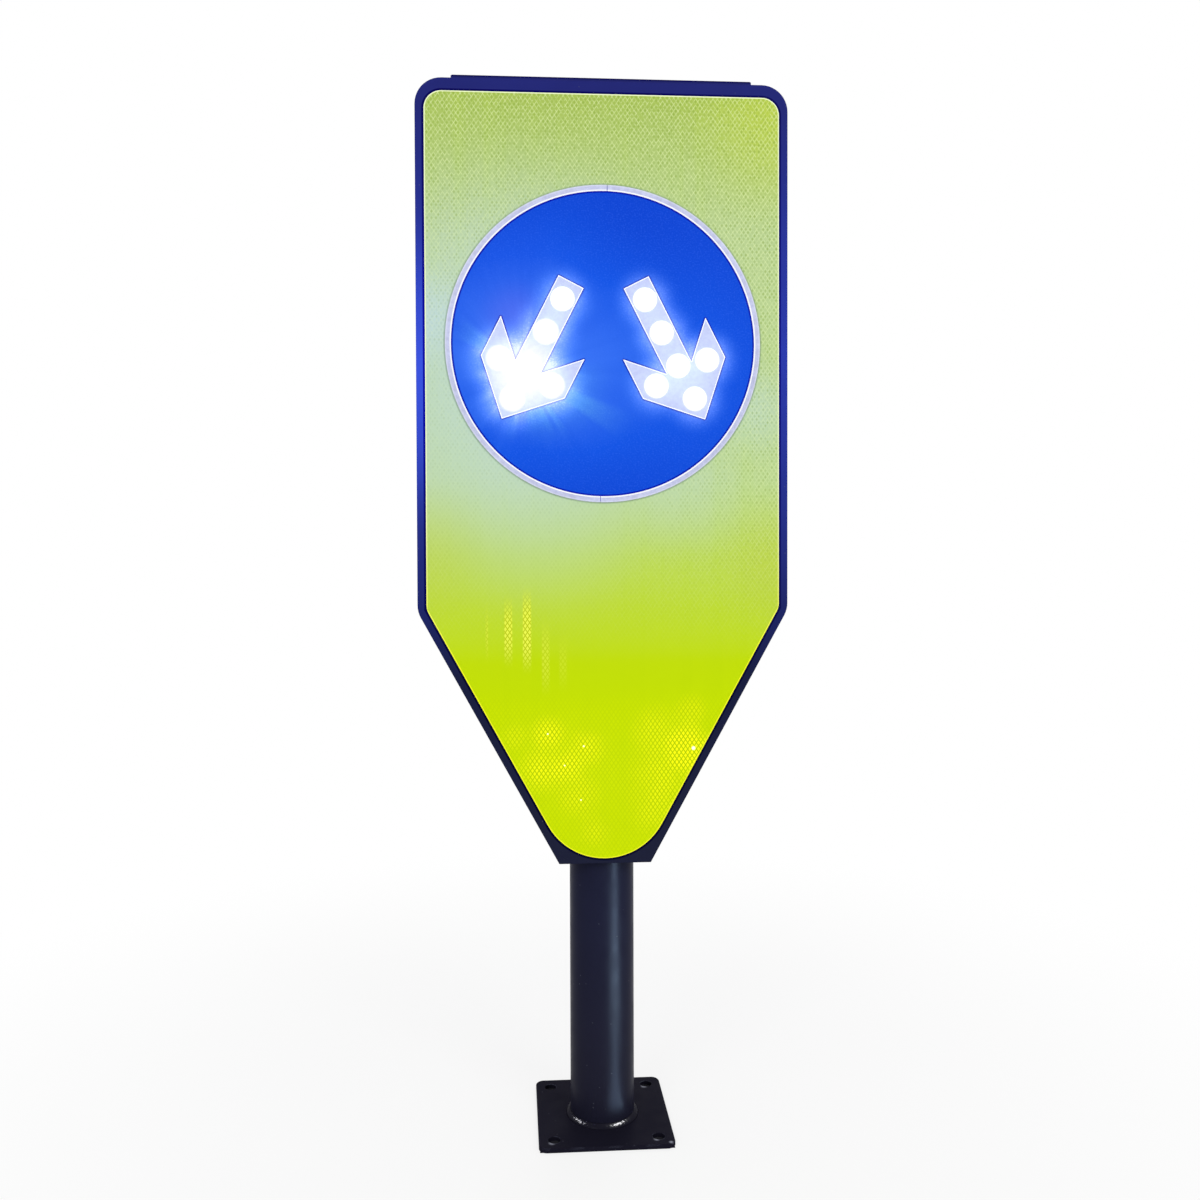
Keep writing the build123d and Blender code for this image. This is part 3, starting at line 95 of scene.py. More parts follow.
# Colours as seen, sRGB from 0 to 255
BLACK = (0, 0, 0)
WHITE = (255, 255, 255)
FLOOR_COLOUR = (240, 240, 240)
# Painted shade on the floor under the base plate
FLOOR_SHADE_UNDER_PLATE = (44, 44, 50)
SHEET_FOOT = (200, 226, 0)
SHEET_LOW_TONE = (196, 224, 0)
SHEET_FADE = (193, 221, 8)
# SHEET_LIME to SHEET_TOP: the yellow-green paled by a painted veil of lamp glare
SHEET_LIME = (190, 218, 54)
SHEET_PALE = (188, 216, 88)
SHEET_GLARE_VEIL = (187, 213, 146)
SHEET_UPPER = (184, 207, 146)
SHEET_TOP = (167, 191, 88)
SHEET_GLARE = (192, 217, 236)
SHEET_WARM = (188, 208, 70)
# SHEET_SPARK: painted reflections in bright prisms near the foot
SHEET_SPARK = (250, 255, 8)
SHEET_SHADE = (180, 214, 0)
SHEET_NET = (170, 200, 0)
SHEET_STREAK = (238, 249, 84)
SHEET_STREAK_LINE = (182, 198, 0)
SHEET_LINE = (222, 236, 172)
SHEET_DOT = (142, 172, 72)
# Painted highlight along the sheet's edge, for its upper and lower parts
SHEET_EDGE_HIGHLIGHT = (244, 255, 204)
SHEET_EDGE_HIGHLIGHT_LOW = (252, 255, 40)
# Painted shade along the white ring
SHEET_CONTACT_SHADE = (126, 156, 128)
# Painted glow of the reflecting patches near the foot
SHEET_BACK_LIGHT = (72, 58, 16)
DISC_DEEP = (12, 68, 208)
DISC_EVEN = (18, 84, 226)
DISC_LIT = (58, 116, 244)
DISC_GRAIN = (66, 120, 246)
# Painted shade inside the ring and beside the arrows
DISC_CONTACT_SHADE = (0, 14, 166)
HALO_BLUE = (124, 188, 255)
HALO_WHITE = (236, 236, 255)
SPOKE_CYAN = (62, 106, 60)
SPILL_WARM = (70, 26, 0)
RING_LIGHT = (204, 209, 240)
RING_DARK = (184, 188, 220)
ARROW_LIGHT = (203, 213, 250)
ARROW_DARK = (192, 200, 243)
ARROW_GLOW = (104, 124, 116)
ARROW_DAZZLE = (180, 170, 90)
# Painted highlight along the films' cut edges
FILM_EDGE_HIGHLIGHT = (250, 250, 255)
LAMP_WHITE = (250, 252, 255)
LENS_LIGHT = (236, 240, 248)
LENS_DARK = (214, 222, 236)
LENS_RIM_GLOW = (188, 204, 236)
BORDER_FOOT = (30, 33, 55)
BORDER_LOW = (24, 29, 62)
# BORDER_MIDDLE to BORDER_TOP: the dark border under painted glare from the lamps
BORDER_MIDDLE = (33, 43, 122)
BORDER_LIT = (42, 58, 172)
BORDER_TOP = (34, 39, 114)
BORDER_GLARE = (58, 84, 226)
BORDER_SHADE = (40, 40, 190)
CABINET_NAVY = (29, 32, 66)
POST_NAVY = (27, 29, 51)
POST_FOOT = (28, 28, 43)
PLATE_BLACK = (27, 26, 38)
# Painted glints on the base plate
PLATE_GLINT = (150, 152, 166)
WORN_EDGE = (74, 77, 92)
COAT_DULL = (203, 203, 206)
DUST = (96, 98, 108)
SCREW_LIGHT = (206, 206, 210)
SCREW_DARK = (150, 150, 156)
HINGE_LIGHT = (188, 188, 192)
HINGE_DARK = (128, 129, 134)
ALUMINIUM_LIGHT = (222, 223, 226)
ALUMINIUM_DARK = (176, 178, 183)
LOCK_LIGHT = (226, 226, 230)
LOCK_DARK = (180, 181, 186)
SEAL_BLACK = (34, 34, 36)
CABLE_BLACK = (28, 28, 30)
PLASTIC_BLACK = (36, 36, 39)
PLASTIC_GREY = (134, 137, 140)
PARTS_GREY = (58, 58, 62)
PHOSPHOR_YELLOW = (242, 214, 110)
BACK_BOARD_BLACK = (40, 41, 48)
BUTTON_RED = (172, 24, 22)
BOARD_GREEN = (18, 84, 42)
BOARD_TRACK = (52, 132, 72)
BOARD_PAD = (206, 196, 150)
WRAP_DARK = (24, 84, 176)
WRAP_LIGHT = (38, 108, 204)
WRAP_END = (12, 40, 92)
SILICON_DARK = (18, 27, 66)
SILICON_LIGHT = (21, 32, 77)
FINGER_SILVER = (150, 158, 172)
BUSBAR_SILVER = (196, 200, 206)
GLASS_TONE = (22, 28, 52)
GLASS_DUST = (118, 122, 130)

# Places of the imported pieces
SHEET_LOW, SHEET_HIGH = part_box("reflective_sheet")
PANEL_LOW, PANEL_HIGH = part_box("front_panel")
DISC_CENTRE = sum(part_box("disc_film"), Vector()) / 2
LAMP_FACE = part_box("arrow_films")[0].y
LEFT_HEAD = Vector((-0.076, LAMP_FACE, 0.735))
RIGHT_HEAD = Vector((0.076, LAMP_FACE, 0.735))
POST_LOW, POST_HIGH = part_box("post_tube")
POST_RADIUS = POST_HIGH.x
PLATE_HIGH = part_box("base_plate")[1]

# Outlines of the films, and the widths of the painted highlight and shade lines along them
SHEET_CORNER = 0.0165
SHEET_NOSE = 0.0625
TAPER_WIDTH = 0.133
TAPER_HEIGHT = 0.242
SHEET_LEAN = atan(TAPER_WIDTH / TAPER_HEIGHT)
RING_WIDTH = 0.00575
RING_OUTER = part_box("ring_film")[1].x
RING_INNER = RING_OUTER - RING_WIDTH
EDGE_LINE = 0.0010
ARROW_EDGE = 0.0014
ARROW_SHADE = 0.0018

# Reflective sheeting: a lattice of prisms
CELL_PITCH = 0.0042
CELL_ROW = 0.00307
PRISM_DEPTH = 0.00002

# Lenses: a bevelled rim, a groove and a stepped dome
LAMP_GROUP = 0.012
LENS_RADIUS = 0.011
LENS_SEGMENTS = 48
LENS_RIM_HEIGHT = 0.0012
LENS_RIM_WIDTH = 0.0011
LENS_BEVEL = 0.0003
LENS_GROOVE = 0.0002
LENS_STEPS = 14
LENS_STEP_HEIGHT = 0.00012
LENS_ROUNDNESS = 0.92
LENS_EDGE_BOW = 0.28
LENS_GLOW_HEIGHT = 0.004

# Glow of the lamps on the films: reaches in metres, strengths where 1 is the left arrow's
HALO_REACH_LEFT = 0.048
HALO_REACH_RIGHT = 0.041
HALO_STRENGTH_LEFT = 1.0
HALO_STRENGTH_RIGHT = 0.58
HALO_CORE = 0.6 * LENS_RADIUS
HALO_LIMIT = 1.5
LEFT_BLOOM = 0.0035
RIGHT_BLOOM = 0.0012
RIGHT_GLARE = 0.12
CORE_REACH = 0.042
CORE_WHITE = 0.011

# Single rays and the gaps between them: heading and half width in degrees, reach, strength
SPOKE_START = 0.030
SPOKES = (
    (-28, 9, 0.122, 1.50),
    (-20, 32, 0.090, 0.95),
    (-64, 32, 0.082, 0.50),
    (-56, 4, 0.078, 0.80),
    (-66, 4, 0.070, 0.70),
    (-75, 15, 0.064, 0.70),
    (-82, 5, 0.058, 0.40),
    (-101, 7, 0.070, 0.60),
    (-120, 6, 0.064, 0.50),
    (146, 10, 0.086, 1.10),
)
GAPS = (
    (170, 14, 0.080, 0.55),
    (-110, 11, 0.080, 0.65),
    (-135, 9, 0.075, 0.30),
    (76, 9, 0.130, 0.60),
)

# Soft round patches on the face: X, Z, reach, strength
SPARKLES = (
    (-0.055, 0.391, 0.023, 0.80),
    (-0.017, 0.377, 0.025, 0.60),
    (-0.036, 0.359, 0.023, 0.65),
    (-0.063, 0.355, 0.029, 0.65),
    (-0.025, 0.329, 0.031, 0.45),
    (-0.010, 0.296, 0.025, 0.45),
    (-0.087, 0.389, 0.020, 0.35),
    (-0.043, 0.367, 0.070, 0.35),
    (0.081, 0.376, 0.030, 1.80),
    (0.083, 0.409, 0.025, 0.55),
    (0.048, 0.394, 0.035, 0.55),
    (0.057, 0.353, 0.041, 0.55),
    (0.048, 0.315, 0.037, 0.45),
    (0.035, 0.350, 0.070, 0.20),
)
WARM_PATCHES = (
    (0.172, 0.980, 0.120, 0.75),
    (0.172, 0.552, 0.080, 0.60),
    (-0.172, 0.560, 0.080, 0.35),
)
GLARE_PATCHES = (
    (-0.076, 0.735, 0.240, 0.62),
    (-0.172, 0.785, 0.060, 0.50),
    (-0.050, 0.585, 0.110, 0.06),
    (0.145, 0.700, 0.060, 0.30),
    (0.080, 0.618, 0.075, 0.16),
)
SPILLS = (
    (-0.082, 0.783, 0.045, 0.60),
    (-0.092, 0.795, 0.110, 0.10),
)
SPARKLE_LIMIT = 1.9

# Small hard glints near the foot: X, Z, size
GLINTS = (
    (-0.0546, 0.3910, 0.0010),
    (-0.0203, 0.3788, 0.0011),
    (-0.0386, 0.3606, 0.0009),
    (0.0854, 0.3754, 0.0024),
    (-0.0231, 0.3273, 0.0009),
)

# Upright bright streaks: X, half width, lower and upper end, strength
STREAK_RISE = 0.032
STREAK_FALL = 0.034
STREAKS = (
    (-0.1120, 0.0014, 0.455, 0.520, 0.40),
    (-0.0917, 0.0044, 0.452, 0.526, 0.95),
    (-0.0739, 0.0046, 0.446, 0.534, 1.00),
    (-0.0563, 0.0042, 0.424, 0.504, 0.38),
    (-0.0398, 0.0042, 0.428, 0.490, 0.22),
)

# The sheet: where the lamps dazzle, where the foot's net of prisms shows, the fineness of the bands
DAZZLED = Vector((-0.080, SHEET_LOW.y, 0.660))
DAZZLE_NEAR = 0.10
DAZZLE_FAR = 0.32
NET_START = 0.44
NET_FULL = 0.40
BAND_STRETCH = (70.0, 1.0, 2.0)

# Where the lamps light the disc and the border
DISC_LEFT_LIT = LEFT_HEAD + Vector((-0.010, 0, 0.018))
DISC_LEFT_REACH = 0.185
DISC_RIGHT_REACH = 0.165
DISC_LOWER_LIT = DISC_CENTRE + Vector((0, 0, -0.04))
DISC_LOWER_REACH = 0.19
BORDER_LIT_PLACE = LEFT_HEAD + Vector((-0.07, 0, 0))
BORDER_LIT_REACH = 0.17

# Paint, metal and plastic: widths, depths, and the fineness of marks along X, Y and Z
EDGE_RADIUS = 0.0010
RUB_WIDTH = 0.0009
# The base plate's rubbed edges are wider: real wear, and painted glints along its edges and hole rims
PLATE_RUB_AND_GLINT_WIDTH = 0.0018
PLASTIC_RUB_WIDTH = 0.0006
DUST_SPACING = 0.006
DUST_SIZE = 0.0006
COAT_GRAIN = 0.00003
PLASTIC_GRAIN = 0.00003
METAL_GRAIN = 0.00001
WRAP_CREASES = 0.00015
UPRIGHT_MARKS = (900.0, 900.0, 60.0)
ROLLED_MARKS = (40.0, 500.0, 900.0)
EVEN_MARKS = (700.0, 700.0, 700.0)
CREASE_STRETCH = (160.0, 160.0, 28.0)

# Painted glints on the base plate: X, Y, reach
PLATE_GLINT_SPOTS = (
    (-0.0525, -0.0550, 0.0045),
    (0.0475, -0.0550, 0.0040),
    (0.0475, 0.0450, 0.0045),
    (0.0605, -0.0610, 0.0030),
)

# Circuit board and solar module
TRACKS_PER_METRE = 160.0
PAD_SPACING = 0.004
PAD_SIZE = 0.0012
FLAKES_PER_METRE = 140.0
FINGER_PITCH = 0.0021
BUSBAR_HALF_WIDTH = 0.0007
BUSBAR_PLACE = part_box("solar_cells")[1].y / 2
GLASS_LOW, GLASS_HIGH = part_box("solar_glass")
GLASS_BEVEL = 0.0004
GLASS_LIFT = 0.0001
GLASS_CORNER = 0.0012
GLASS_CORNER_STEPS = 4

# Weld at the foot of the post: sizes, counts of steps, and plain shares for its form
WELD_LOW, WELD_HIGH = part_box("base_weld")
WELD_LEG = WELD_HIGH.z - WELD_LOW.z
WELD_ROOT_INSET = 0.0006
WELD_ROOT_DEPTH = 0.0004
WELD_SEED = 7
WELD_SWELL = (0.75, 1.25)
WELD_RIPPLES = 52
WELD_STEPS_PER_RIPPLE = 8
WELD_STEPS = WELD_RIPPLES * WELD_STEPS_PER_RIPPLE
WELD_ARC_STEPS = 10
WELD_RIPPLE_HEIGHT = 0.00016
WELD_RIPPLE_CURVE = 1.5
WELD_LAG = 0.9
WELD_FILL = 0.90
WELD_HOLLOW = 0.10
WELD_FLATNESS = 1.15


# Small tools

def tint(colour, strength=1.0):
    """An sRGB colour as the linear colour that a node takes."""
    linear = []
    for value in colour:
        share = value / 255
        linear.append(share / 12.92 if share <= 0.04045 else ((share + 0.055) / 1.055) ** 2.4)
    return (*[strength * channel for channel in linear], 1.0)


def between(low, high, share):
    """The value that lies a share of the way from low to high."""
    return low + (high - low) * share


def toward(colour, other, share):
    """A colour moved a share of the way to another."""
    return tuple(between(low, high, share) for low, high in zip(colour, other))


def face_point(x, z):
    """A point on the front of the sheet."""
    return Vector((x, SHEET_LOW.y, z))


class Nodes:
    """Adds nodes to a tree. Most methods give back the new node's output."""

    def __init__(self, tree):
        self.tree = tree

    def give(self, socket, value):
        """Link another node's output to a socket, or set a plain value on it."""
        if isinstance(value, bpy.types.NodeSocket):
            self.tree.links.new(value, socket)
        else:
            socket.default_value = value

    def add(self, kind, *values, **settings):
        """A new node with its first inputs and its settings."""
        node = self.tree.nodes.new("ShaderNode" + kind)
        for name, value in settings.items():
            setattr(node, name, value)
        for socket, value in zip(node.inputs, values):
            self.give(socket, value)
        return node

    def math(self, operation, first, second=0.0, third=0.0):
        return self.add("Math", first, second, third, operation=operation).outputs[0]

    def times(self, first, second):
        return self.math("MULTIPLY", first, second)

    def plus(self, first, second):
        return self.math("ADD", first, second)

    def minus(self, first, second):
        return self.math("SUBTRACT", first, second)

    def larger(self, first, second):
        return self.math("MAXIMUM", first, second)

    def smaller(self, first, second):
        return self.math("MINIMUM", first, second)

    def absolute(self, value):
        return self.math("ABSOLUTE", value)

    def weighted(self, value, weight, base):
        """A value times its weight, on top of a base."""
        return self.math("MULTIPLY_ADD", value, weight, base)

    def vector(self, operation, first, second=(0, 0, 0)):
        """A vector worked out from vectors."""
        return self.add("VectorMath", first, second, operation=operation).outputs["Vector"]

    def measure(self, operation, first, second=(0, 0, 0)):
        """A number worked out from vectors."""
        return self.add("VectorMath", first, second, operation=operation).outputs["Value"]

    def step(self, value, start, end):
        """0 at start, 1 at end, smooth between."""
        node = self.add("MapRange", value, start, end, 0.0, 1.0, interpolation_type="SMOOTHSTEP")
        return node.outputs[0]

    def slope(self, value, start, end, low=0.0, high=1.0):
        """low at start, high at end, straight between."""
        return self.add("MapRange", value, start, end, low, high).outputs[0]

    def seen_directly(self):
        """1 for rays from the camera, a reflection or a glass, 0 for the light that falls on the sign."""
        path = self.add("LightPath").outputs
        either = self.larger(path["Is Camera Ray"], path["Is Glossy Ray"])
        return self.larger(either, path["Is Transmission Ray"])


class Paint(Nodes):
    """One node material. A tone is a colour as seen or another node's output."""

    def __init__(self, name):
        self.material = bpy.data.materials.new(name)
        self.material.use_nodes = True
        super().__init__(self.material.node_tree)
        self.shader = self.tree.nodes["Principled BSDF"]
        self.place = self.add("TexCoord").outputs["Object"]
        self.x, self.y, self.z = self.add("SeparateXYZ", self.place).outputs

    def surface(self, **values):
        """Set the shader's own sockets, with underscores for the spaces in their names."""
        for name, value in values.items():
            self.give(self.shader.inputs[name.replace("_", " ")], value)

    def shine(self, tone):
        """Let the surface give off light."""
        self.surface(Emission_Color=tone, Emission_Strength=1.0)

    def mix(self, factor, first, second, blend="MIX"):
        """Two tones mixed; the factor is the share of the second."""
        node = self.add("Mix", data_type="RGBA", blend_type=blend)
        self.give(node.inputs[0], factor)
        for socket, tone in ((node.inputs[6], first), (node.inputs[7], second)):
            is_colour = isinstance(tone, tuple) and len(tone) == 3
            self.give(socket, tint(tone) if is_colour else tone)
        return node.outputs[2]

    def lay(self, tone, cover, where, strength=1.0, blend="MIX"):
        """A tone with another laid over it where a mask says so."""
        return self.mix(self.times(where, strength), tone, cover, blend)

    def ramp(self, factor, *stops):
        """A run of colours; stops are (position, colour)."""
        node = self.add("ValToRGB", factor)
        elements = node.color_ramp.elements
        while len(elements) < len(stops):
            elements.new(1.0)
        for element, (position, colour) in zip(elements, stops):
            element.position = position
            element.color = tint(colour)
        return node.outputs[0]

    def noise(self, scale, detail=2.0, vector=None):
        node = self.add("TexNoise")
        self.give(node.inputs["Vector"], vector or self.place)
        node.inputs["Scale"].default_value = scale
        node.inputs["Detail"].default_value = detail
        return node.outputs["Fac"]

    def stretched_noise(self, stretch, detail):
        """Noise with its own fineness along X, Y and Z."""
        return self.noise(1.0, detail, self.vector("MULTIPLY", self.place, stretch))

    def blotches(self, scale, detail, low, high):
        """Blotches of noise: 0 where it is below low, 1 where it is above high."""
        return self.step(self.noise(scale, detail), low, high)

    def loose_cells(self, per_metre):
        """A loose grid of cells: the distance from a cell's middle, and a number from 0 to 1 per cell."""
        node = self.add("TexVoronoi")
        self.give(node.inputs["Vector"], self.place)
        node.inputs["Scale"].default_value = per_metre
        chance = self.add("SeparateColor", node.outputs["Color"]).outputs[0]
        return node.outputs["Distance"], chance

    def dots(self, spacing, size, share):
        """Small round specks in a share of the cells of a loose grid."""
        distance, chance = self.loose_cells(1 / spacing)
        near = self.step(distance, size / spacing, 0.5 * size / spacing)
        return self.times(near, self.math("LESS_THAN", chance, share))

    def length(self, first, second):
        """Length of the long side of a right-angled triangle."""
        return self.measure("LENGTH", self.add("CombineXYZ", first, second, 0.0).outputs[0])

    def distance(self, point):
        return self.measure("DISTANCE", self.place, point)

    def near(self, point, reach):
        """1 at a point, falling smoothly to nothing at its reach."""
        return self.step(self.distance(point), reach, 0.0)

    def edges(self, radius, soft=0.99, sharp=0.80):
        """1 on the sharp edges of the mesh, nothing on its flat faces; thin sheets need a finer range."""
        rounded = self.add("Bevel", radius, samples=6).outputs[0]
        plain = self.add("NewGeometry").outputs["Normal"]
        return self.step(self.measure("DOT_PRODUCT", rounded, plain), soft, sharp)

    def contact(self, reach):
        """1 beside a piece that stands proud of this surface, fading to nothing at the reach."""
        node = self.add("AmbientOcclusion", samples=24)
        node.inputs["Distance"].default_value = reach
        return self.step(node.outputs["AO"], 1.0, 0.96)

    def diagonals(self):
        """The sheeting's two sloping directions, counted in cells."""
        across = self.times(self.x, 1 / CELL_PITCH)
        up = self.times(self.z, 1 / (2 * CELL_ROW))
        return self.plus(across, up), self.minus(across, up)

    def lattice(self):
        """The sheeting's diamond cells: 0 on the lines between cells, 1 in a cell's middle."""
        rising, falling = [self.math("PINGPONG", count, 0.5) for count in self.diagonals()]
        return self.times(self.smaller(rising, falling), 2.0)

    def cell_chance(self):
        """A number from 0 to 1 for each cell of the sheeting."""
        rising, falling = [self.math("FLOOR", count) for count in self.diagonals()]
        whole = self.add("CombineXYZ", rising, falling, 0.0).outputs[0]
        return self.add("TexWhiteNoise", whole).outputs["Value"]

    def bump(self, height, depth, edge_radius=0.0):
        """Relief of a height from 0 to 1, as deep as depth, on edges rounded by a radius."""
        node = self.add("Bump")
        node.inputs["Distance"].default_value = depth
        if edge_radius:
            self.give(node.inputs["Normal"], self.add("Bevel", edge_radius, samples=6).outputs[0])
        self.give(node.inputs["Height"], height)
        self.give(self.shader.inputs["Normal"], node.outputs[0])


# Lamps and their glow

def lamp_centres():
    """The middle of each lamp on the face, found from its emitter."""
    groups = []
    for vertex in NODES["led_emitters"].data.vertices:
        spot = Vector((vertex.co.x, LAMP_FACE, vertex.co.z))
        for group in groups:
            if (group[0] - spot).length < LAMP_GROUP:
                group.append(spot)
                break
        else:
            groups.append([spot])
    return [sum(group, Vector()) / len(group) for group in groups]


LAMPS = lamp_centres()
LAMP_TOP = max(lamp.z for lamp in LAMPS)
LAMP_LOW = min(lamp.z for lamp in LAMPS)


def lamp_glare(lamp):
    """How strongly a lamp dazzles: the left arrow's head most, the right arrow least."""
    down = (LAMP_TOP - lamp.z) / (LAMP_TOP - LAMP_LOW)
    return min(1.0, 2 * down) * (1.0 if lamp.x < 0 else RIGHT_GLARE)


def halo(paint):
    """Light that spills from the lamps onto the films."""
    total = 0.0
    for lamp in LAMPS:
        glare = lamp_glare(lamp)
        reach = between(HALO_REACH_RIGHT, HALO_REACH_LEFT, glare)
        strength = between(HALO_STRENGTH_RIGHT, HALO_STRENGTH_LEFT, glare)
        spill = paint.step(paint.distance(lamp), reach, HALO_CORE)
        total = paint.weighted(paint.times(spill, spill), strength, total)
    return paint.smaller(total, HALO_LIMIT)


def bloom(paint):
    """White dazzle close around the lenses, and over the whole middle of the left arrow's head."""
    total = paint.step(paint.distance(LEFT_HEAD), CORE_REACH, CORE_WHITE)
    for lamp in LAMPS:
        reach = LENS_RADIUS + between(RIGHT_BLOOM, LEFT_BLOOM, lamp_glare(lamp))
        total = paint.larger(total, paint.step(paint.distance(lamp), reach, LENS_RADIUS))
    return total


def heading(paint):
    """Direction from the left arrow's head."""
    return paint.vector("NORMALIZE", paint.vector("SUBTRACT", paint.place, LEFT_HEAD))


def rays(paint):
    """Uneven spokes around the left arrow's head, from 0 to 1."""
    return paint.step(paint.noise(2.6, 3.0, heading(paint)), 0.32, 0.68)


def fan(paint, table):
    """Rays that fan out from the left arrow's head and fade outward."""
    out = heading(paint)
    far = paint.distance(LEFT_HEAD)
    total = 0.0
    for aim, half_width, reach, strength in table:
        way = Vector((cos(radians(aim)), 0, sin(radians(aim))))
        aligned = paint.step(paint.measure("DOT_PRODUCT", out, way), cos(radians(half_width)), 1.0)
        ray = paint.times(aligned, paint.step(far, reach, SPOKE_START))
        total = paint.weighted(ray, strength, total)
    return total


# Paint

def coat(name, tone, roughness, gloss, worn=0.5, rub_width=RUB_WIDTH):
    """Satin powder coat: fine orange peel, faint mottling, dust and rubbed edges.

    The tone is a colour, or a function that paints one.
    """
    paint = Paint(name)
    tone = tone(paint) if callable(tone) else tone
    dull = paint.mix(1.0, tone, COAT_DULL, "MULTIPLY")
    mottle = paint.blotches(scale=14.0, detail=4.0, low=0.30, high=0.70)
    colour = paint.lay(tone, dull, where=mottle, strength=0.22)
    specks = paint.dots(DUST_SPACING, DUST_SIZE, share=0.22)
    colour = paint.lay(colour, DUST, where=specks, strength=0.50)
    patchy = paint.blotches(scale=120.0, detail=3.0, low=0.42, high=0.62)
    rub = paint.times(paint.edges(rub_width), patchy)
    colour = paint.lay(colour, WORN_EDGE, where=rub, strength=worn)
    uneven = paint.weighted(paint.noise(60.0, 3.0), roughness, roughness * (1 - roughness))
    paint.surface(Base_Color=colour, Roughness=uneven, Specular_IOR_Level=gloss)
    paint.bump(paint.noise(900.0), COAT_GRAIN, EDGE_RADIUS)
    return paint.material


def beyond_sheet(paint):
    """Distance outside the sheet's outline; less than nothing inside it."""
    across = paint.absolute(paint.x)
    side = paint.larger(paint.minus(across, SHEET_HIGH.x - SHEET_CORNER), 0.0)
    top = paint.larger(paint.minus(paint.z, SHEET_HIGH.z - SHEET_CORNER), 0.0)
    upper = paint.minus(paint.length(side, top), SHEET_CORNER)
    rise = paint.minus(paint.z, SHEET_LOW.z + SHEET_NOSE)
    out = paint.minus(paint.times(across, cos(SHEET_LEAN)), paint.times(rise, sin(SHEET_LEAN)))
    along = paint.plus(paint.times(across, sin(SHEET_LEAN)), paint.times(rise, cos(SHEET_LEAN)))
    nose = paint.length(paint.larger(out, 0.0), paint.smaller(along, 0.0))
    return paint.larger(upper, paint.minus(nose, SHEET_NOSE))


def border_tone(paint):
    """The face's border: near black at the foot, bluer up beside the lit disc under painted glare, with a
    painted shade line along the sheet.
    """
    tone = paint.ramp(
        paint.slope(paint.z, PANEL_LOW.z, PANEL_HIGH.z),
        (0.00, BORDER_FOOT),
        (0.24, BORDER_LOW),
        (0.40, BORDER_MIDDLE),
        (0.66, BORDER_LIT),
        (0.97, BORDER_TOP),
    )
    tone = paint.lay(tone, BORDER_GLARE, where=paint.near(BORDER_LIT_PLACE, BORDER_LIT_REACH))
    # Painted shade: a dark line along the sheet's edge
    beside = paint.step(beyond_sheet(paint), 2.5 * EDGE_LINE, 1.8 * EDGE_LINE)
    return paint.lay(tone, BORDER_SHADE, where=beside, blend="MULTIPLY")


def post_tone(paint):
    """The post: bluer at its top, blacker at its foot."""
    return paint.mix(paint.step(paint.z, POST_LOW.z, 0.7 * POST_HIGH.z), POST_FOOT, POST_NAVY)


def plate_tone(paint):
    """The base plate: near black, with painted glints beside three bolt holes and at one corner."""
    glinting = 0.0
    for x, y, reach in PLATE_GLINT_SPOTS:
        glinting = paint.plus(glinting, paint.near(Vector((x, y, PLATE_HIGH.z)), reach))
    return paint.mix(glinting, PLATE_BLACK, PLATE_GLINT)


def roof_tone(paint):
    """The module's frame: at its front the same blue of painted glare as the face's border, darker behind,
    with a painted shade line along its front top edge.
    """
    low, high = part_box("solar_frame")
    tone = paint.mix(paint.step(paint.y, low.y, 0.0), BORDER_TOP, CABINET_NAVY)
    top = paint.step(paint.z, high.z - 2.0 * EDGE_LINE, high.z - EDGE_LINE)
    # Painted shade: a dark line along the front top edge
    front = paint.step(paint.y, low.y + EDGE_LINE, low.y)
    return paint.lay(tone, BORDER_SHADE, where=paint.times(top, front), blend="MULTIPLY")


# The yellow-green sheet

def lay_patches(paint, tone, table, colour, blend="MIX"):
    """A tone with soft round patches of a colour laid over it."""
    for x, z, reach, strength in table:
        tone = paint.lay(tone, colour, paint.near(face_point(x, z), reach), strength, blend)
    return tone


def sparkles(paint):
    """Soft patches near the foot where the prisms throw light back."""
    total = 0.0
    for x, z, reach, strength in SPARKLES:
        total = paint.weighted(paint.near(face_point(x, z), reach), strength, total)
    uneven = paint.blotches(scale=60.0, detail=3.0, low=0.20, high=0.62)
    return paint.times(paint.smaller(total, SPARKLE_LIMIT), paint.weighted(uneven, weight=0.35, base=0.65))


def streaks(paint):
    """Upright bright streaks in the prisms, left of the middle."""
    total = 0.0
    for x, half_width, low, high, strength in STREAKS:
        line = paint.step(paint.absolute(paint.minus(paint.x, x)), half_width, 0.7 * half_width)
        rise = paint.step(paint.z, low, low + STREAK_RISE)
        fall = paint.step(paint.z, high, high - STREAK_FALL)
        total = paint.weighted(paint.times(line, paint.times(rise, fall)), strength, total)
    return total


def glints(paint):
    """Single prisms that throw a lamp straight back."""
    total = 0.0
    for x, z, size in GLINTS:
        total = paint.plus(total, paint.step(paint.distance(face_point(x, z)), size, 0.4 * size))
    return total


def sheet_tone(paint, height):
    """The sheet's colour from foot to top, paled upward by a painted veil of glare, with faint upright
    bands, glare patches and warm sides.
    """
    tone = paint.ramp(
        height,
        (0.00, SHEET_FOOT),
        (0.20, SHEET_LOW_TONE),
        (0.26, SHEET_FADE),
        (0.33, SHEET_LIME),
        (0.40, SHEET_PALE),
        (0.50, SHEET_GLARE_VEIL),
        (0.82, SHEET_UPPER),
        (1.00, SHEET_TOP),
    )
    bands = paint.step(paint.stretched_noise(BAND_STRETCH, 2.0), 0.55, 0.30)
    tone = paint.lay(tone, SHEET_SHADE, where=bands, strength=0.10)
    tone = lay_patches(paint, tone, GLARE_PATCHES, SHEET_GLARE)
    return lay_patches(paint, tone, WARM_PATCHES, SHEET_WARM)


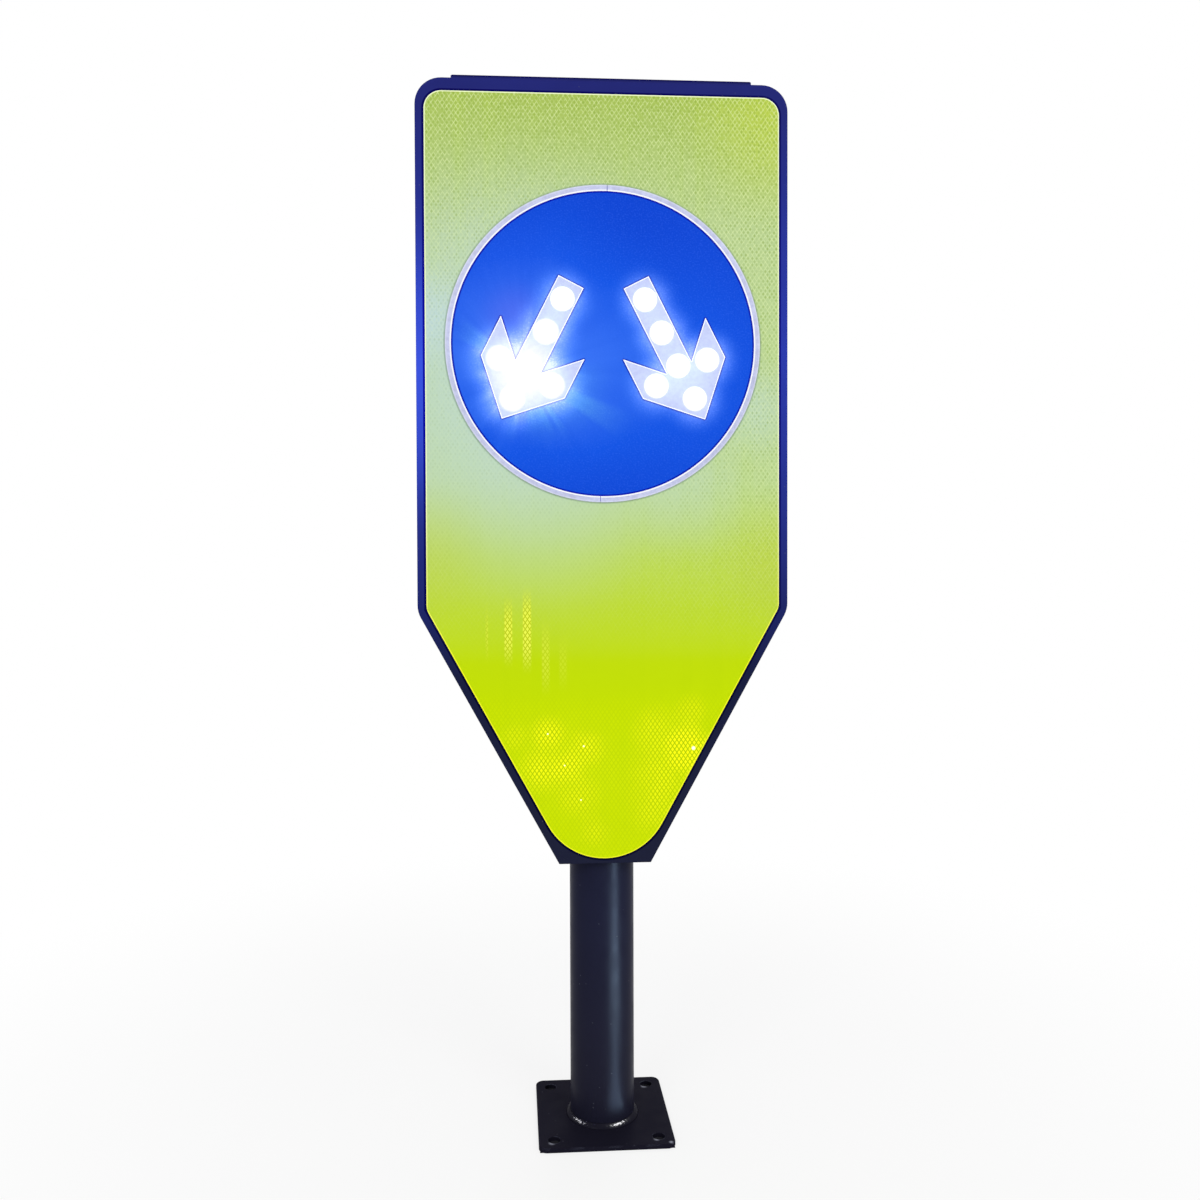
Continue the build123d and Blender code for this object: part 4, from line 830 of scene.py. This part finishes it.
def prism_marks(paint, tone, cell, upper):
    """Dark dots in the prisms and pale threads between them, weaker where the lamps dazzle."""
    clear = paint.slope(paint.distance(DAZZLED), DAZZLE_NEAR, DAZZLE_FAR)
    seen = paint.times(upper, paint.weighted(clear, weight=0.75, base=0.25))
    dots = paint.times(paint.step(cell, 0.35, 0.70), paint.cell_chance())
    tone = paint.lay(tone, SHEET_DOT, where=paint.times(dots, seen), strength=0.75)
    loose = paint.blotches(scale=330.0, detail=3.0, low=0.34, high=0.62)
    threads = paint.times(paint.step(cell, 0.26, 0.05), loose)
    return paint.lay(tone, SHEET_LINE, where=paint.times(threads, seen), strength=0.75)


def sparkle_marks(paint, tone, middle, bright):
    """Bright prisms with darker lines between them, near the foot and in the streaks; the soft patches near
    the foot are painted reflections.
    """
    foot = paint.step(paint.z, NET_START, NET_FULL)
    net = paint.larger(bright, paint.times(foot, 0.12))
    tone = paint.lay(tone, paint.mix(middle, SHEET_NET, SHEET_SPARK), where=net)
    return paint.lay(tone, paint.mix(middle, SHEET_STREAK_LINE, SHEET_STREAK), where=streaks(paint))


def sheet_edges(paint, tone, upper):
    """Painted shade as a dark line along the white ring, and a painted highlight as a pale line along the
    sheet's own edge.
    """
    shade_beside_ring = paint.step(paint.distance(DISC_CENTRE), RING_OUTER + 2 * EDGE_LINE, RING_OUTER + EDGE_LINE)
    tone = paint.lay(tone, SHEET_CONTACT_SHADE, where=shade_beside_ring, strength=0.45)
    edge = paint.step(beyond_sheet(paint), -1.2 * EDGE_LINE, -0.7 * EDGE_LINE)
    return paint.lay(tone, paint.mix(upper, SHEET_EDGE_HIGHLIGHT_LOW, SHEET_EDGE_HIGHLIGHT), where=edge)


def reflective_sheet():
    """Fluorescent sheeting: diamond prisms, paled by a painted veil of glare around the lit disc, with
    painted reflections sparkling near the foot.
    """
    paint = Paint("reflective_film")
    height = paint.slope(paint.z, SHEET_LOW.z, SHEET_HIGH.z)
    upper = paint.step(height, 0.24, 0.55)
    cell = paint.lattice()
    middle = paint.step(cell, 0.05, 0.45)
    bright = sparkles(paint)
    tone = sheet_tone(paint, height)
    tone = prism_marks(paint, tone, cell, upper)
    tone = sparkle_marks(paint, tone, middle, bright)
    tone = sheet_edges(paint, tone, upper)
    paint.surface(Base_Color=tone, Roughness=0.28, Specular_IOR_Level=0.03)
    # Painted light: the reflecting patches glow, and the glints glow white
    back_light = paint.mix(paint.times(bright, middle), BLACK, SHEET_BACK_LIGHT)
    paint.shine(paint.mix(glints(paint), back_light, LAMP_WHITE))
    paint.bump(cell, PRISM_DEPTH)
    return paint.material


# The blue disc, the white ring and arrows, and the lenses

def disc_tone(paint, grain, shade_beside_arrow):
    """The disc's blue: brighter around the lamps as painted light, with painted shade along the ring and the
    arrows.
    """
    uneven = paint.weighted(rays(paint), weight=0.22, base=0.78)
    lit = paint.times(paint.near(DISC_LEFT_LIT, DISC_LEFT_REACH), uneven)
    lit = paint.weighted(paint.near(RIGHT_HEAD, DISC_RIGHT_REACH), weight=0.44, base=lit)
    lit = paint.weighted(paint.near(DISC_LOWER_LIT, DISC_LOWER_REACH), weight=0.10, base=lit)
    tone = paint.ramp(lit, (0.0, DISC_DEEP), (0.45, DISC_EVEN), (1.0, DISC_LIT))
    tone = paint.lay(tone, DISC_GRAIN, where=grain, strength=0.18)
    # Painted shade: a dark line inside the ring and beside the arrows
    rim = paint.step(paint.distance(DISC_CENTRE), RING_INNER - 2 * EDGE_LINE, RING_INNER - EDGE_LINE)
    return paint.lay(tone, DISC_CONTACT_SHADE, where=paint.larger(rim, shade_beside_arrow), strength=0.9)


def disc_glow(paint, grain, shade_beside_arrow):
    """Light from the lamps painted on the disc: their halo with gaps in it, single rays and a warm haze,
    dimmed in the painted shade beside the arrows.
    """
    clumps = paint.weighted(paint.noise(180.0, 3.0), weight=0.40, base=0.70)
    clumps = paint.weighted(grain, weight=0.35, base=clumps)
    uneven = paint.times(paint.weighted(rays(paint), weight=0.3, base=0.7), clumps)
    open_ways = paint.minus(1.0, fan(paint, GAPS))
    spread = paint.times(halo(paint), paint.times(uneven, open_ways))
    glow = paint.mix(spread, BLACK, paint.mix(spread, HALO_BLUE, HALO_WHITE))
    spokes = paint.times(fan(paint, SPOKES), uneven)
    glow = paint.mix(spokes, glow, SPOKE_CYAN, "ADD")
    glow = lay_patches(paint, glow, SPILLS, SPILL_WARM, "ADD")
    return paint.lay(glow, BLACK, where=shade_beside_arrow, strength=0.35)


def disc_film():
    """Blue film over the same sheeting, lit up around the lamps."""
    paint = Paint("blue_film")
    grain = paint.blotches(scale=650.0, detail=3.0, low=0.45, high=0.75)
    # A contact mask for painted shade beside the arrows
    shade_beside_arrow = paint.contact(ARROW_SHADE)
    tone = disc_tone(paint, grain, shade_beside_arrow)
    paint.surface(Base_Color=tone, Roughness=0.30, Specular_IOR_Level=0.03)
    paint.shine(disc_glow(paint, grain, shade_beside_arrow))
    paint.bump(paint.lattice(), PRISM_DEPTH)
    return paint.material


def white_film(paint, light, dark, edge):
    """Lavender-white film, faintly mottled, with a painted highlight along its cut edge."""
    broad = paint.blotches(scale=30.0, detail=2.0, low=0.30, high=0.70)
    fine = paint.blotches(scale=260.0, detail=4.0, low=0.34, high=0.66)
    mottle = paint.weighted(fine, weight=0.6, base=paint.times(broad, 0.4))
    tone = paint.lay(paint.mix(mottle, dark, light), FILM_EDGE_HIGHLIGHT, where=edge)
    paint.surface(Base_Color=tone, Roughness=0.30, Specular_IOR_Level=0.05)
    paint.bump(paint.lattice(), PRISM_DEPTH)
    return paint.material


def ring_film():
    """The white ring, with a painted highlight along its inner edge and a fainter one along its outer edge.
    """
    paint = Paint("white_film")
    out = paint.distance(DISC_CENTRE)
    inner = paint.step(out, RING_INNER + 1.6 * EDGE_LINE, RING_INNER + EDGE_LINE)
    outer = paint.step(out, RING_OUTER - 1.6 * EDGE_LINE, RING_OUTER - EDGE_LINE)
    return white_film(paint, RING_LIGHT, RING_DARK, paint.larger(inner, paint.times(outer, 0.2)))


def arrow_film():
    """The white arrows, with painted glow from the lamps that stand on them and a painted highlight along
    their edges.
    """
    paint = Paint("arrow_film")
    # Painted highlight along the arrows' edges, both pale and glowing
    edge = paint.edges(ARROW_EDGE, soft=0.9995, sharp=0.985)
    spread = halo(paint)
    glow = paint.mix(paint.times(spread, spread), BLACK, ARROW_GLOW)
    glow = paint.mix(bloom(paint), glow, ARROW_DAZZLE)
    paint.shine(paint.lay(glow, LAMP_WHITE, where=edge, strength=0.5))
    return white_film(paint, ARROW_LIGHT, ARROW_DARK, edge)


def lens_glow():
    """Moulded lens over a lit emitter: white in the middle, a little cooler at the rim."""
    paint = Paint("lens_plastic")
    tone = paint.mix(paint.noise(700.0, 1.0), LENS_DARK, LENS_LIGHT)
    proud = paint.slope(paint.y, LAMP_FACE, LAMP_FACE - LENS_GLOW_HEIGHT)
    paint.surface(Base_Color=tone, Roughness=0.18, Specular_IOR_Level=0.4)
    paint.shine(paint.mix(paint.step(proud, 0.10, 0.55), LENS_RIM_GLOW, tint(LAMP_WHITE, strength=1.5)))
    return paint.material


# Metal, rubber and plastic

def steel(name, light, dark, roughness, marks=UPRIGHT_MARKS):
    """Bare metal with fine rubbing marks; marks is their fineness along X, Y and Z."""
    paint = Paint(name)
    rubbed = paint.stretched_noise(marks, 4.0)
    stain = paint.blotches(scale=45.0, detail=3.0, low=0.40, high=0.70)
    tone = paint.lay(paint.mix(rubbed, dark, light), dark, where=stain, strength=0.25)
    uneven = paint.slope(rubbed, 0.3, 0.7, low=0.75 * roughness, high=1.3 * roughness)
    paint.surface(Base_Color=tone, Metallic=1.0, Roughness=uneven)
    paint.bump(rubbed, METAL_GRAIN)
    return paint.material


def moulded(name, colour, roughness, gloss=0.35):
    """Moulded plastic or rubber with a fine matt grain and handled edges."""
    paint = Paint(name)
    mottle = paint.blotches(scale=55.0, detail=3.0, low=0.30, high=0.72)
    tone = paint.lay(colour, toward(colour, BLACK, 0.28), where=mottle, strength=0.30)
    tone = paint.lay(tone, toward(colour, WHITE, 0.18), where=paint.edges(PLASTIC_RUB_WIDTH), strength=0.35)
    uneven = paint.slope(paint.noise(90.0), 0.3, 0.7, low=0.85 * roughness, high=1.1 * roughness)
    paint.surface(Base_Color=tone, Roughness=uneven, Specular_IOR_Level=gloss)
    paint.bump(paint.noise(1500.0), PLASTIC_GRAIN)
    return paint.material


# The board, the battery and the solar module

def circuit_board():
    """Green board with paler tracks and small bright pads."""
    paint = Paint("circuit_board")
    tracks = paint.add("TexBrick", paint.place)
    tracks.inputs["Scale"].default_value = TRACKS_PER_METRE
    tone = paint.lay(BOARD_GREEN, BOARD_TRACK, where=tracks.outputs["Fac"], strength=0.5)
    tone = paint.lay(tone, BOARD_PAD, where=paint.dots(PAD_SPACING, PAD_SIZE, share=0.4))
    paint.surface(Base_Color=tone, Roughness=0.35, Specular_IOR_Level=0.4)
    return paint.material


def cell_wrap():
    """Blue shrink wrap on the battery cells, creased and darker at the ends."""
    paint = Paint("cell_can")
    low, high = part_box("battery_cells")
    off_middle = paint.absolute(paint.minus(paint.slope(paint.z, low.z, high.z), 0.5))
    creases = paint.stretched_noise(CREASE_STRETCH, 3.0)
    tone = paint.mix(paint.step(creases, 0.35, 0.70), WRAP_DARK, WRAP_LIGHT)
    tone = paint.lay(tone, WRAP_END, where=paint.step(off_middle, 0.44, 0.47))
    paint.surface(Base_Color=tone, Roughness=0.26, Specular_IOR_Level=0.5)
    paint.bump(creases, WRAP_CREASES)
    return paint.material


def solar_silicon():
    """Blue-black cells with crystal flakes, fine fingers and two bright busbars."""
    paint = Paint("solar_silicon")
    flake = paint.loose_cells(FLAKES_PER_METRE)[1]
    tone = paint.mix(flake, SILICON_DARK, SILICON_LIGHT)
    finger = paint.math("PINGPONG", paint.times(paint.x, 1 / FINGER_PITCH), 0.5)
    tone = paint.lay(tone, FINGER_SILVER, where=paint.step(finger, 0.10, 0.03), strength=0.15)
    off_bar = paint.absolute(paint.minus(paint.absolute(paint.y), BUSBAR_PLACE))
    busbars = paint.step(off_bar, BUSBAR_HALF_WIDTH, 0.7 * BUSBAR_HALF_WIDTH)
    tone = paint.lay(tone, BUSBAR_SILVER, where=busbars)
    paint.surface(Base_Color=tone, Roughness=0.22, Specular_IOR_Level=0.5)
    return paint.material


def module_glass():
    """Thin cover glass over the cells, with a trace of dust."""
    paint = Paint("module_glass")
    dust = paint.blotches(scale=40.0, detail=4.0, low=0.45, high=0.80)
    tone = paint.lay(GLASS_TONE, GLASS_DUST, where=dust, strength=0.35)
    paint.surface(Base_Color=tone, Roughness=paint.weighted(dust, weight=0.16, base=0.04))
    paint.surface(Alpha=0.25, Specular_IOR_Level=1.0)
    return paint.material


# The finish of each material slot, and of the nodes that have their own

MATERIALS = {
    "post_paint": coat("post_paint", post_tone, roughness=0.29, gloss=0.035),
    "cabinet_paint": coat("cabinet_paint", CABINET_NAVY, roughness=0.38, gloss=0.14),
    "reflective_film": reflective_sheet(),
    "blue_film": disc_film(),
    "white_film": ring_film(),
    "lens_plastic": lens_glow(),
    "seal_rubber": moulded("seal_rubber", SEAL_BLACK, roughness=0.75, gloss=0.2),
    "cable_rubber": moulded("cable_rubber", CABLE_BLACK, roughness=0.55, gloss=0.3),
    "screw_steel": steel("screw_steel", SCREW_LIGHT, SCREW_DARK, roughness=0.28),
    "hinge_steel": steel("hinge_steel", HINGE_LIGHT, HINGE_DARK, roughness=0.36),
    "bare_aluminium": steel("bare_aluminium", ALUMINIUM_LIGHT, ALUMINIUM_DARK, 0.40, marks=ROLLED_MARKS),
    "black_plastic": moulded("black_plastic", PLASTIC_BLACK, roughness=0.55),
    "grey_plastic": moulded("grey_plastic", PLASTIC_GREY, roughness=0.55),
    "circuit_board": circuit_board(),
    "board_parts": moulded("board_parts", PARTS_GREY, roughness=0.45),
    "emitter_phosphor": moulded("emitter_phosphor", PHOSPHOR_YELLOW, roughness=0.30),
    "cell_can": cell_wrap(),
    "module_board": moulded("module_board", BACK_BOARD_BLACK, roughness=0.60),
    "solar_silicon": solar_silicon(),
    "module_glass": module_glass(),
    "lock_metal": steel("lock_metal", LOCK_LIGHT, LOCK_DARK, roughness=0.16, marks=EVEN_MARKS),
    "button_plastic": moulded("button_plastic", BUTTON_RED, roughness=0.30, gloss=0.5),
}

OWN_MATERIALS = {
    "front_panel": coat("border_paint", border_tone, roughness=0.40, gloss=0.03, worn=0.0),
    "solar_frame": coat("roof_paint", roof_tone, roughness=0.40, gloss=0.05),
    # The base plate's full, wide rubbed edges are partly real wear, partly painted glints along its edges
    # and hole rims
    "base_plate": coat("plate_paint", plate_tone, 0.45, gloss=0.006, worn=1.0, rub_width=PLATE_RUB_AND_GLINT_WIDTH),
    "arrow_films": arrow_film(),
}


def dress_nodes():
    """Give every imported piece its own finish, or else that of its material slot."""
    for part in frame["record"]["subparts"]:
        node = part["node"]
        material = OWN_MATERIALS.get(node, MATERIALS[part["material_slot"]])
        NODES[node].material_slots[0].material = material


# Pieces

def add_object(name, data):
    """Put a mesh, a lamp or a camera into the scene."""
    item = bpy.data.objects.new(name, data)
    bpy.context.scene.collection.objects.link(item)
    return item


def add_piece(name, points, faces, body, slot, material, *stands_for):
    """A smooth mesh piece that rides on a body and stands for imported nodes."""
    mesh = bpy.data.meshes.new(name)
    mesh.from_pydata(points, [], faces)
    mesh.shade_smooth()
    mesh.materials.append(material)
    piece = add_object(name, mesh)
    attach(piece, body)
    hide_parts(*stands_for)
    return piece


def band_faces(first, second, count):
    """Quads between two closed rows of points, from where each row starts."""
    faces = []
    for i in range(count):
        beside = (i + 1) % count
        faces.append((first + i, first + beside, second + beside, second + i))
    return faces


def weld_section(step, swell):
    """The weld's section at one step around the post: distance from the axis and height of each point."""
    section = [(POST_RADIUS - WELD_ROOT_INSET, WELD_LOW.z - WELD_ROOT_DEPTH)]
    for i in range(WELD_ARC_STEPS + 1):
        share = i / WELD_ARC_STEPS
        crown = sin(pi * share)
        phase = step / WELD_STEPS_PER_RIPPLE - WELD_LAG * crown
        ripple = (1 - phase % 1) ** WELD_RIPPLE_CURVE * swell[floor(phase) % WELD_RIPPLES]
        reach = WELD_LEG * (WELD_FILL - WELD_HOLLOW * crown) + WELD_RIPPLE_HEIGHT * ripple * crown
        turn = share * pi / 2
        out = POST_RADIUS + reach * cos(turn) ** WELD_FLATNESS
        up = WELD_LOW.z + reach * sin(turn) ** WELD_FLATNESS
        section.append((out, up))
    return section


def weld_bead():
    """The fillet weld at the foot of the post, with the overlapping ripples of its passes."""
    draw = random.Random(WELD_SEED)
    swell = [draw.uniform(*WELD_SWELL) for _ in range(WELD_RIPPLES)]
    count = WELD_ARC_STEPS + 2
    points = []
    faces = []
    for i in range(WELD_STEPS):
        angle = 2 * pi * i / WELD_STEPS
        points += [(out * cos(angle), out * sin(angle), up) for out, up in weld_section(i, swell)]
        faces += band_faces(i * count, (i + 1) % WELD_STEPS * count, count)
    material = coat("weld_paint", PLATE_BLACK, roughness=0.16, gloss=0.018, worn=0.0)
    return add_piece("weld_bead", points, faces, "post", "post_paint", material, "base_weld")


def lens_profile(top):
    """A lens from its flange to near its top: radius and Y of each point."""
    rim = LAMP_FACE - LENS_RIM_HEIGHT
    groove = LENS_RADIUS - LENS_RIM_WIDTH - LENS_GROOVE
    dome = groove - LENS_GROOVE
    profile = [
        (LENS_RADIUS, LAMP_FACE),
        (LENS_RADIUS, rim + LENS_BEVEL),
        (LENS_RADIUS - LENS_BEVEL, rim),
        (LENS_RADIUS - LENS_RIM_WIDTH, rim),
        (groove, rim + LENS_BEVEL),
    ]
    for i in range(LENS_STEPS):
        share = 1 - i / LENS_STEPS
        bow = sqrt(1 - LENS_ROUNDNESS * share ** 2)
        rise = (bow - LENS_EDGE_BOW) / (1 - LENS_EDGE_BOW)
        ridge = LENS_STEP_HEIGHT if i % 2 else 0.0
        profile.append((dome * share, between(rim + LENS_GROOVE, top, rise) + ridge))
    return profile


def lens_domes():
    """Twelve moulded lenses with bevelled rims and stepped domes."""
    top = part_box("led_lenses")[0].y
    profile = lens_profile(top)
    points = []
    faces = []
    for lamp in LAMPS:
        for row, (radius, y) in enumerate(profile):
            start = len(points)
            for i in range(LENS_SEGMENTS):
                angle = 2 * pi * i / LENS_SEGMENTS
                points.append((lamp.x + radius * cos(angle), y, lamp.z + radius * sin(angle)))
            if row:
                faces += band_faces(start - LENS_SEGMENTS, start, LENS_SEGMENTS)
        tip = len(points)
        points.append((lamp.x, top, lamp.z))
        faces += [(start + i, start + (i + 1) % LENS_SEGMENTS, tip) for i in range(LENS_SEGMENTS)]
    material = MATERIALS["lens_plastic"]
    return add_piece("lens_domes", points, faces, "head", "lens_plastic", material, "led_lenses")


def rounded_loop(half_x, half_y):
    """Points once round a rectangle with rounded corners."""
    points = []
    for turn, side_x, side_y in ((0, 1, 1), (1, -1, 1), (2, -1, -1), (3, 1, -1)):
        for i in range(GLASS_CORNER_STEPS + 1):
            angle = (turn + i / GLASS_CORNER_STEPS) * pi / 2
            x = side_x * (half_x - GLASS_CORNER) + GLASS_CORNER * cos(angle)
            y = side_y * (half_y - GLASS_CORNER) + GLASS_CORNER * sin(angle)
            points.append((x, y))
    return points


def cover_glass():
    """The solar module's glass with ground edges, a hair above the cells."""
    foot = GLASS_LOW.z + GLASS_LIFT
    levels = (
        (GLASS_BEVEL, foot),
        (0.0, foot + GLASS_BEVEL),
        (0.0, GLASS_HIGH.z - GLASS_BEVEL),
        (GLASS_BEVEL, GLASS_HIGH.z),
    )
    points = []
    faces = []
    for inset, z in levels:
        start = len(points)
        points += [(x, y, z) for x, y in rounded_loop(GLASS_HIGH.x - inset, GLASS_HIGH.y - inset)]
        count = len(points) - start
        if start:
            faces += band_faces(start - count, start, count)
    faces.append(tuple(reversed(range(count))))
    faces.append(tuple(range(start, start + count)))
    material = MATERIALS["module_glass"]
    piece = add_piece("cover_glass", points, faces, "head", "module_glass", material, "solar_glass")
    piece.data.shade_flat()
    return piece


# Camera, floor and light

def add_camera():
    """The photograph's view, from the fitted place and turn."""
    level = Vector((cos(CAMERA_YAW), -sin(CAMERA_YAW), 0))
    ahead = Vector((sin(CAMERA_YAW), cos(CAMERA_YAW), 0))
    forward = cos(CAMERA_PITCH) * ahead - sin(CAMERA_PITCH) * Vector((0, 0, 1))
    down = forward.cross(level)
    right = cos(CAMERA_ROLL) * level + sin(CAMERA_ROLL) * down
    up = sin(CAMERA_ROLL) * level - cos(CAMERA_ROLL) * down
    turn = Matrix((right, up, -forward)).transposed().to_4x4()
    data = bpy.data.cameras.new("photo_camera")
    data.sensor_width = SENSOR_MM
    data.lens = SENSOR_MM * FOCAL_PIXELS / IMAGE_SIZE
    data.shift_x = 0.5 - OPTICAL_AXIS_X / IMAGE_SIZE
    data.shift_y = OPTICAL_AXIS_Y / IMAGE_SIZE - 0.5
    camera = add_object("photo_camera", data)
    camera.matrix_world = Matrix.Translation(CAMERA_PLACE) @ turn
    bpy.context.scene.camera = camera


def add_world():
    """A white room: white where it is seen, softer where it lights the object."""
    world = bpy.data.worlds.new("white_room")
    world.use_nodes = True
    bpy.context.scene.world = world
    nodes = Nodes(world.node_tree)
    background = world.node_tree.nodes["Background"]
    background.inputs["Color"].default_value = tint(WHITE)
    level = nodes.slope(nodes.seen_directly(), 0.0, 1.0, low=WORLD_LIGHT, high=1.0)
    nodes.give(background.inputs["Strength"], level)


def floor_paint():
    """A matt floor that fades into the white room, with painted shade under the base plate."""
    paint = Paint("floor")
    off_middle = paint.larger(paint.absolute(paint.x), paint.absolute(paint.y))
    bare = paint.math("GREATER_THAN", off_middle, PLATE_HIGH.x - PLATE_SHADE_INSET)
    tone = paint.mix(bare, FLOOR_SHADE_UNDER_PLATE, FLOOR_COLOUR)
    paint.surface(Base_Color=tone, Roughness=0.9, Specular_IOR_Level=0.0)
    fade = paint.step(paint.measure("LENGTH", paint.place), FLOOR_FADE_START, FLOOR_FADE_END)
    glow = paint.times(paint.seen_directly(), paint.weighted(fade, 1 - FLOOR_GLOW, FLOOR_GLOW))
    white = paint.add("Emission").outputs[0]
    blend = paint.add("MixShader", paint.times(glow, bare), paint.shader.outputs[0], white)
    paint.give(paint.tree.nodes["Material Output"].inputs["Surface"], blend.outputs[0])
    return paint.material


def add_floor():
    """A pale floor that keeps a soft shadow."""
    size = FLOOR_HALF_SIZE
    corners = [(-size, -size, 0), (size, -size, 0), (size, size, 0), (-size, size, 0)]
    mesh = bpy.data.meshes.new("floor")
    mesh.from_pydata(corners, [], [(0, 1, 2, 3)])
    mesh.materials.append(floor_paint())
    ground = add_object("floor", mesh)


def soft_box(name, place, target, width, height, brightness, light=NEUTRAL_LIGHT):
    """A rectangular lamp whose face has this brightness, aimed at a point."""
    data = bpy.data.lights.new(name, "AREA")
    data.shape = "RECTANGLE"
    data.size = width
    data.size_y = height
    data.energy = brightness * pi * width * height
    data.color = light
    lamp = add_object(name, data)
    lamp.location = place
    lamp.rotation_euler = (Vector(target) - Vector(place)).to_track_quat("-Z", "Y").to_euler()
    lamp.visible_camera = False
    return lamp


def shine_box(piece, *values):
    """A lamp that shows only as a reflection on one piece, without lighting it."""
    lamp = soft_box(*values)
    lamp.visible_diffuse = False
    receivers = bpy.data.collections.new(lamp.name)
    receivers.objects.link(piece)
    lamp.light_linking.receiver_collection = receivers


def add_lights(weld):
    """Soft lamps around the sign, and panels whose reflections show on the post and the weld."""
    for name, place, side, brightness in ROOM_LAMPS:
        soft_box(name, place, SIGN_MIDDLE, side, side, brightness)
    for values in WELD_SHINES:
        shine_box(weld, *values)
    for values in POST_SHINES:
        shine_box(NODES["post_tube"], *values, POST_SHINE_LIGHT)


# The scene

bpy.context.scene.view_settings.view_transform = "Standard"
add_camera()
dress_nodes()
weld = weld_bead()
lens_domes()
cover_glass()
add_world()
add_floor()
add_lights(weld)
